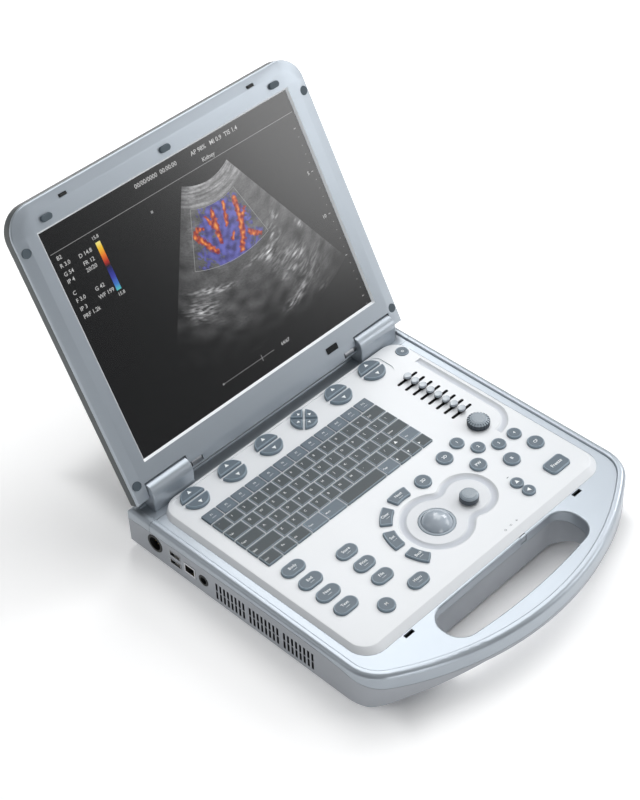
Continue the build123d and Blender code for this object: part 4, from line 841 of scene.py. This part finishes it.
# Each streak of bright tissue: its angle and depth, how many degrees wide and how thick it is, and
# how bright.
STREAKS = (
    (12.6, 150.8, 3.4, 6, 0.52), (18.7, 140.6, 2.4, 9, 0.4), (21.0, 173.8, 3.2, 6, 0.34),
    (14.9, 180.5, 3.6, 3.4, 0.36), (10.1, 205.8, 3.6, 4, 0.38), (14.7, 202.4, 2.4, 5, 0.26),
    (-17.4, 154.9, 7.5, 3, 0.36), (-10.8, 156.0, 4.5, 2.6, 0.22), (-21.1, 171.0, 5.0, 9, 0.38),
    (29.0, 158.5, 1.0, 5, 0.3), (20.6, 219.7, 2.6, 3, 0.2), (24.5, 131.0, 2.0, 6, 0.2),
    (16.0, 166.0, 6.0, 9, 0.14), (21.0, 192.0, 7.0, 16, 0.1), (6.0, 146.0, 6.0, 3, 0.2),
    (-23.0, 100.0, 4.0, 30, 0.05))


def share_of(value):
    """A value held between 0 and 1."""
    return max(0.0, min(1.0, value))


def noise_at(x, y, z=0.0):
    """Smooth noise between about -1 and 1, the same on every run."""
    return noise.noise(Vector((x, y, z)))


def fan_point(angle, depth):
    """Across and up in picture millimetres of a point of the fan."""
    return APEX_X + depth * math.sin(math.radians(angle)), APEX_Y - depth * math.cos(math.radians(angle))


def echo_at(angle, depth):
    """Red, green and blue of the scan at an angle in degrees and a distance in millimetres from the apex."""
    sideways = math.radians(angle) * depth
    x, y = fan_point(angle, depth)
    speckle = noise_at(sideways / 1.9, depth / 0.8) * 0.6 + noise_at(sideways / 4.2, depth / 1.5, 7.0) * 0.5
    cloud = noise_at(sideways / 16.0, depth / 9.0, 3.0)
    if depth < BOUNDARY:
        layers = 0.5 + 1.1 * noise_at(sideways / 22.0, depth / 1.5, 5.0)
        layers += 0.4 * noise_at(sideways / 6.0, depth / 2.0, 8.0)
        grey = 0.13 + 0.3 * max(0.0, layers) * (1 - (depth - NEAR) / LAYERS_FADE)
        edge = math.exp(-((depth - BOUNDARY + 1.8) / 1.1) ** 2)
        grey += 0.22 * edge * max(0.2, min(1.0, 0.4 - angle / 20))
    else:
        grey = 0.125 * (1 - (depth - BOUNDARY) / TISSUE_FADE) + 0.07 * cloud
    for streak_angle, streak_depth, spread, thick, gain in STREAKS:
        off = ((angle - streak_angle) / spread) ** 2 + ((depth - streak_depth) / thick) ** 2
        grain = 0.34 + 2.1 * noise_at(sideways / 8.0, (depth + 0.12 * sideways) / 1.7, streak_depth)
        grey += 1.35 * gain * max(0.0, grain) * math.exp(-1.3 * off)
    grey *= 1 + 0.55 * speckle
    shadow = share_of((depth - SHADOW_START) / SHADOW_GROWS) * share_of(1.2 - abs(angle - 2) / 9)
    grey = max(0.01, grey * (1 - 0.5 * shadow))
    reach = 207 + 0.55 * angle
    grey *= max(0.2, 1 - 0.5 * max(0.0, (-angle - 20) / 11))
    grey *= max(0.1, 1 - max(0.0, (depth - reach + 14) / 26))
    colour = Vector((grey, grey, grey * 1.02))

    # in the flow window blue pools lie behind red and yellow vessels
    if BOX_NEAR < depth < BOX_FAR and BOX_LEFT < angle < BOX_RIGHT:
        inside = min(angle - BOX_LEFT, BOX_RIGHT - angle) / 3
        pool = 0.62 + 0.5 * noise_at(sideways / 6.5, depth / 6.5, 11.0)
        pool += 0.35 * noise_at(sideways / 2.4, depth / 2.4, 2.0)
        centre = 1 - ((angle + 2.0) / 19) ** 2 - ((depth - 106) / 36) ** 4
        blue = share_of((1.7 * pool + centre - 1.2) * 3) * share_of(inside)
        patch = share_of(0.5 + 1.1 * noise_at(sideways / 5.5, depth / 5.5, 9.0) + 0.25 * speckle)
        tint = Vector((0.035, 0.03, 0.17)).lerp(Vector((0.13, 0.13, 0.52)), patch)
        colour = colour.lerp(tint, 0.9 * blue)
        core = 0.0
        for vessel in VESSELS:
            for (x0, y0, w0), (x1, y1, w1) in zip(vessel, vessel[1:]):
                length = (x1 - x0) ** 2 + (y1 - y0) ** 2
                share = share_of(((x - x0) * (x1 - x0) + (y - y0) * (y1 - y0)) / length)
                gap = math.hypot(x - x0 - share * (x1 - x0), y - y0 - share * (y1 - y0))
                gap += 1.9 * noise_at(x / 2.2, y / 2.8, 4.0)
                core = max(core, 1.25 - gap / (w0 + share * (w1 - w0)))
        if core > 0:
            shade = share_of(0.62 * core - 0.08 + 1.1 * noise_at(x / 3.4, y / 3.4, 6.0))
            warm = Vector((0.22, 0.008, 0.02)).lerp(Vector((0.8, 0.17, 0.02)), shade)
            warm += Vector((0.05, 0.35, 0.1)) * max(0.0, shade - 0.8) * 2
            colour = colour.lerp(warm, min(1.0, 0.2 + 2.2 * core))
    return colour


COLUMNS, ROWS = 150, 190
corners, colours, faces = [], [], []
for row in range(ROWS + 1):
    depth = NEAR + (FAR - NEAR) * row / ROWS
    for column in range(COLUMNS + 1):
        angle = HALF_FAN * (2 * column / COLUMNS - 1)
        corners.append(fan_point(angle, depth))
        colours.append(echo_at(angle, depth))
for row in range(ROWS):
    for column in range(COLUMNS):
        first = row * (COLUMNS + 1) + column
        faces.append((first, first + COLUMNS + 1, first + COLUMNS + 2, first + 1))
lit_paint = lit("lit_display_colours", "COLOUR")
scan = painted("display_scan_fan", corners, colours, faces, SHEET_MM)
fit(scan, "lid", "screen", lit_paint)

# The colour scale, from pale yellow through red and dark to blue and cyan.
BAR = (("#F4E98C", 195.4), ("#F2C62E", 190.0), ("#E8741C", 182.0), ("#B3261A", 176.0), ("#241018", 171.8),
       ("#1C2470", 168.0), ("#3A3FA8", 160.0), ("#3E7CC6", 153.0), ("#58C4C4", 147.7))
BAR_SIDES = (47.6, 52.9)
corners = [(x, y) for colour, y in BAR for x in BAR_SIDES]
colours = [linear(colour)[:3] for colour, y in BAR for x in BAR_SIDES]
faces = [(2 * i, 2 * i + 2, 2 * i + 3, 2 * i + 1) for i in range(len(BAR) - 1)]
bar = painted("display_colour_scale", corners, colours, faces, SHEET_MM)
fit(bar, "lid", "screen", lit_paint)

# Thin lines: the header rule, the flow window's outline, the depth marks and the scale at the foot.
LINE_GREY = (0.3, 0.3, 0.3)
strokes = []


def stroke(points, width):
    """Adds a line of a width through points, as one flat bar for each pair of neighbours."""
    for (x0, y0), (x1, y1) in zip(points, points[1:]):
        across = Vector((y0 - y1, x1 - x0)).normalized() * width / 2
        strokes.append(((x0 + across.x, y0 + across.y), (x0 - across.x, y0 - across.y),
                        (x1 - across.x, y1 - across.y), (x1 + across.x, y1 + across.y)))


HEADER_Y = 206.5
stroke([(2.0, HEADER_Y), (302.0, HEADER_Y)], 0.5)
span = [BOX_LEFT + (BOX_RIGHT - BOX_LEFT) * step / 16 for step in range(17)]
stroke([fan_point(angle, BOX_NEAR) for angle in span], 0.35)
stroke([fan_point(angle, BOX_FAR) for angle in span], 0.5)
stroke([fan_point(BOX_LEFT, BOX_NEAR), fan_point(BOX_LEFT, BOX_FAR)], 0.5)
stroke([fan_point(BOX_RIGHT, BOX_NEAR), fan_point(BOX_RIGHT, BOX_FAR)], 0.5)

# depth marks, every fifth one longer and thicker
MARKS, MARK_RIGHT, MARK_TOP, MARK_PITCH = 24, 298.6, 191.0, 9.04
for step in range(MARKS):
    y = MARK_TOP - MARK_PITCH * step
    long, thick = (2.6, 0.9) if step % 5 == 0 else (1.0, 0.6)
    stroke([(MARK_RIGHT - long, y), (MARK_RIGHT, y)], thick)

# the frame scale at the foot with its stop and its pointer, and the dot beside the scan
FOOT_Y = 16.0
stroke([(110.0, FOOT_Y), (176.0, FOOT_Y)], 0.4)
stroke([(108.4, FOOT_Y), (110.2, FOOT_Y)], 1.8)
stroke([(160.0, FOOT_Y - 3.2), (160.0, FOOT_Y + 3.2)], 0.6)
stroke([(113.0, 193.0), (115.4, 193.0)], 2.4)
corners = [corner for quad in strokes for corner in quad]
faces = [(4 * i, 4 * i + 1, 4 * i + 2, 4 * i + 3) for i in range(len(strokes))]
lines = painted("display_fine_lines", corners, [LINE_GREY] * len(corners), faces, LINES_MM)
fit(lines, "lid", "screen", lit_paint)

# Plain figures and units, as any scanner shows them: the words, their size and where they start.
figures = []
for words, size, x, y in (
        ("00/00/0000  00:00:00", 6.0, 108, 220.7), ("AP 98%   MI 0.9  TIS 1.4", 6.0, 177, 220.7),
        ("Kidney", 5.6, 186, 210.5), ("B2", 5.4, 6, 200.7), ("R 3.0", 5.4, 6, 193.1),
        ("G 54", 5.4, 6, 184.8), ("IP 4", 5.4, 6, 177.8), ("C", 5.4, 6, 166.2),
        ("F 3.0", 5.4, 6, 158.8), ("IP 3", 5.4, 6, 150.5), ("PRF 1.2k", 5.4, 6, 142.9),
        ("D 14.8", 5.4, 27, 192.2), ("FR 12", 5.4, 28, 184.2), ("20/20", 5.4, 28, 177.8),
        ("G 42", 5.4, 28, 159.0), ("WF 199", 5.4, 28, 150.8), ("15.8", 4.6, 46, 200),
        ("15.8", 4.6, 47, 143.7), ("5", 5.0, 291, 146), ("10", 5.0, 288, 100.6),
        ("64/67", 4.8, 186, 16.5)):
    figures.append(printed(words, size, 0, 0, 0, "LEFT"))
    figures[-1].data.transform(Matrix.Diagonal((1 / MM, 1 / MM, 1 / MM, 1)))
    figures[-1].data.transform(Matrix.Translation((x, y, LINES_MM)))
figures = joined(figures, "display_figures")
figures.data.transform(picture)
fit(figures, "lid", "screen", lit("lit_white_figures", "#C4C4C4"))

# ---- socket contacts ----
# The contacts inside the sockets of the left side: round pins and flat leaves stamped from brass and
# plated with gold, which glint warm in the dark. They are pressed into their inserts, and the data
# ports' leaves lie on white moulded tongues.
PIN_MM, PIN_FACES = 4.2, 12
contact_gold = moulded("gold_plated_brass", "#C9A75A", 0.28, 0.6, 0.004, metallic=1.0)
tongue_white = moulded("white_contact_carrier", "#D9DCDD", 0.45, 0.5, 0.01)
mounts = {
    mount["name"]: (Vector(mount["pos_m"]), Vector(mount["axis"])) for mount in frame["record"]["mounts"]}


def peg(radius_mm, length_mm, mouth, axis, across_mm, up_mm, inset_mm):
    """A pin inside a socket: across and up from the mouth's middle, its tip inset_mm behind it."""
    bpy.ops.mesh.primitive_cylinder_add(vertices=PIN_FACES, radius=radius_mm * MM, depth=length_mm * MM)
    pin = bpy.context.object
    turn = axis.to_track_quat("Z", "Y").to_matrix().to_4x4()
    across = axis.cross(Vector((0, 0, 1))) * across_mm * MM
    centre = mouth + across + Vector((0, 0, up_mm * MM)) - axis * (inset_mm + length_mm / 2) * MM
    pin.data.transform(Matrix.Translation(centre) @ turn)
    return pin


def block(size_mm, mouth, axis, across_mm, up_mm, inset_mm):
    """A small bar inside a socket, as wide, high and deep as given."""
    wide, high, long = size_mm
    bpy.ops.mesh.primitive_cube_add(size=1)
    bar = bpy.context.object
    across = axis.cross(Vector((0, 0, 1)))
    turn = Matrix((
        (across.x, 0, axis.x, 0), (across.y, 0, axis.y, 0), (0, 1, 0, 0), (0, 0, 0, 1)))
    centre = mouth + across * across_mm * MM + Vector((0, 0, up_mm * MM)) - axis * (inset_mm + long / 2) * MM
    bar.data.transform(
        Matrix.Translation(centre) @ turn @ Matrix.Diagonal((wide * MM, high * MM, long * MM, 1)))
    bpy.ops.object.mode_set(mode="EDIT")
    bpy.ops.mesh.select_all(action="SELECT")
    bpy.ops.mesh.normals_make_consistent(inside=False)
    bpy.ops.object.mode_set(mode="OBJECT")
    return bar


# For each round socket: the radius of its ring of pins, their number and radius, and how deep they lie.
pins = []
for name, ring_mm, count, radius_mm, inset_mm in (
        ("multi_pin_socket", 4.3, 7, 0.6, 1.2), ("video_socket", 2.3, 4, 0.42, 1.0)):
    mouth, axis = mounts[name]
    for step in range(count):
        angle = 2 * math.pi * (step + 0.5) / count
        across_mm, up_mm = ring_mm * math.cos(angle), ring_mm * math.sin(angle)
        pins.append(peg(radius_mm, PIN_MM, mouth, axis, across_mm, up_mm, inset_mm))
    pins.append(peg(radius_mm, PIN_MM, mouth, axis, 0, 0, inset_mm))
socket_pins = joined(pins, "round_socket_pins")
bpy.ops.object.shade_smooth_by_angle(angle=math.radians(40))
fit(socket_pins, "base", "port_shells", contact_gold)

# Two data ports with a tongue and four leaves each, and the network port's eight leaves.
tongues, leaves = [], []
for name in ("usb_port_upper", "usb_port_lower"):
    mouth, axis = mounts[name]
    tongues.append(block((10.0, 1.4, 7.0), mouth, axis, 0, 0.7, 2.4))
    for step in range(4):
        leaves.append(block((1.1, 0.25, 5.5), mouth, axis, -3.6 + 2.4 * step, -0.15, 3.2))
mouth, axis = mounts["network_port"]
for step in range(8):
    leaves.append(block((0.4, 0.5, 6.0), mouth, axis, -3.5 + step, 2.2, 2.6))
data_tongues = joined(tongues, "data_port_tongues")
fit(data_tongues, "base", "port_plastic", tongue_white)
data_leaves = joined(leaves, "data_port_contacts")
fit(data_leaves, "base", "port_shells", contact_gold)

# ---- the parts that stay as they are ----
# Inner parts, sockets, latch, hinge arms and pins, feet and screws keep their shape. They are moulded
# ABS, silicone and rubber, pressed and turned steel, a laminate board and nickel-plated shells, screwed
# or clipped in. Plastics and rubber are dull and dark, and the metals mirror the room in a soft blur.
black_plastic = moulded("black_moulded_abs", "#0E0F10", 0.5, 0.4, 0.02)
steel = moulded("plain_steel", "#9A9CA0", 0.35, 0.6, 0.01, metallic=1.0)
rubber_black = moulded("black_rubber", "#1A1B1C", 0.75, 0.5, 0.03)
mat_grey = moulded("silicone_mat", "#B9BBBE", 0.6, 0.5, 0.02)
board_green = moulded("board_laminate", "#1E5A3C", 0.4, 0.7, 0.02)
battery_grey = moulded("battery_abs", "#3A3D42", 0.5, 0.4, 0.03)
plated = moulded("nickel_plated", "#C9CACC", 0.2, 0.7, 0.005, metallic=1.0)
for node, material in (
        ("trackball_cup", black_plastic), ("encoders", black_plastic), ("slider_tracks", black_plastic),
        ("dome_mat", mat_grey), ("key_plate", steel), ("latch_bar", steel), ("hinge_pins", steel),
        ("hinge_arms", steel), ("display_module", black_plastic), ("latch_hooks", black_plastic),
        ("round_sockets", black_plastic), ("data_ports", plated), ("probe_socket", black_plastic),
        ("power_inlet", black_plastic), ("main_board", board_green), ("battery_pack", battery_grey),
        ("fan_frame", black_plastic), ("fan_rotor", black_plastic), ("feet", rubber_black),
        ("case_screws", steel)):
    part = frame["nodes"][node]
    part.data.materials.clear()
    part.data.materials.append(material)
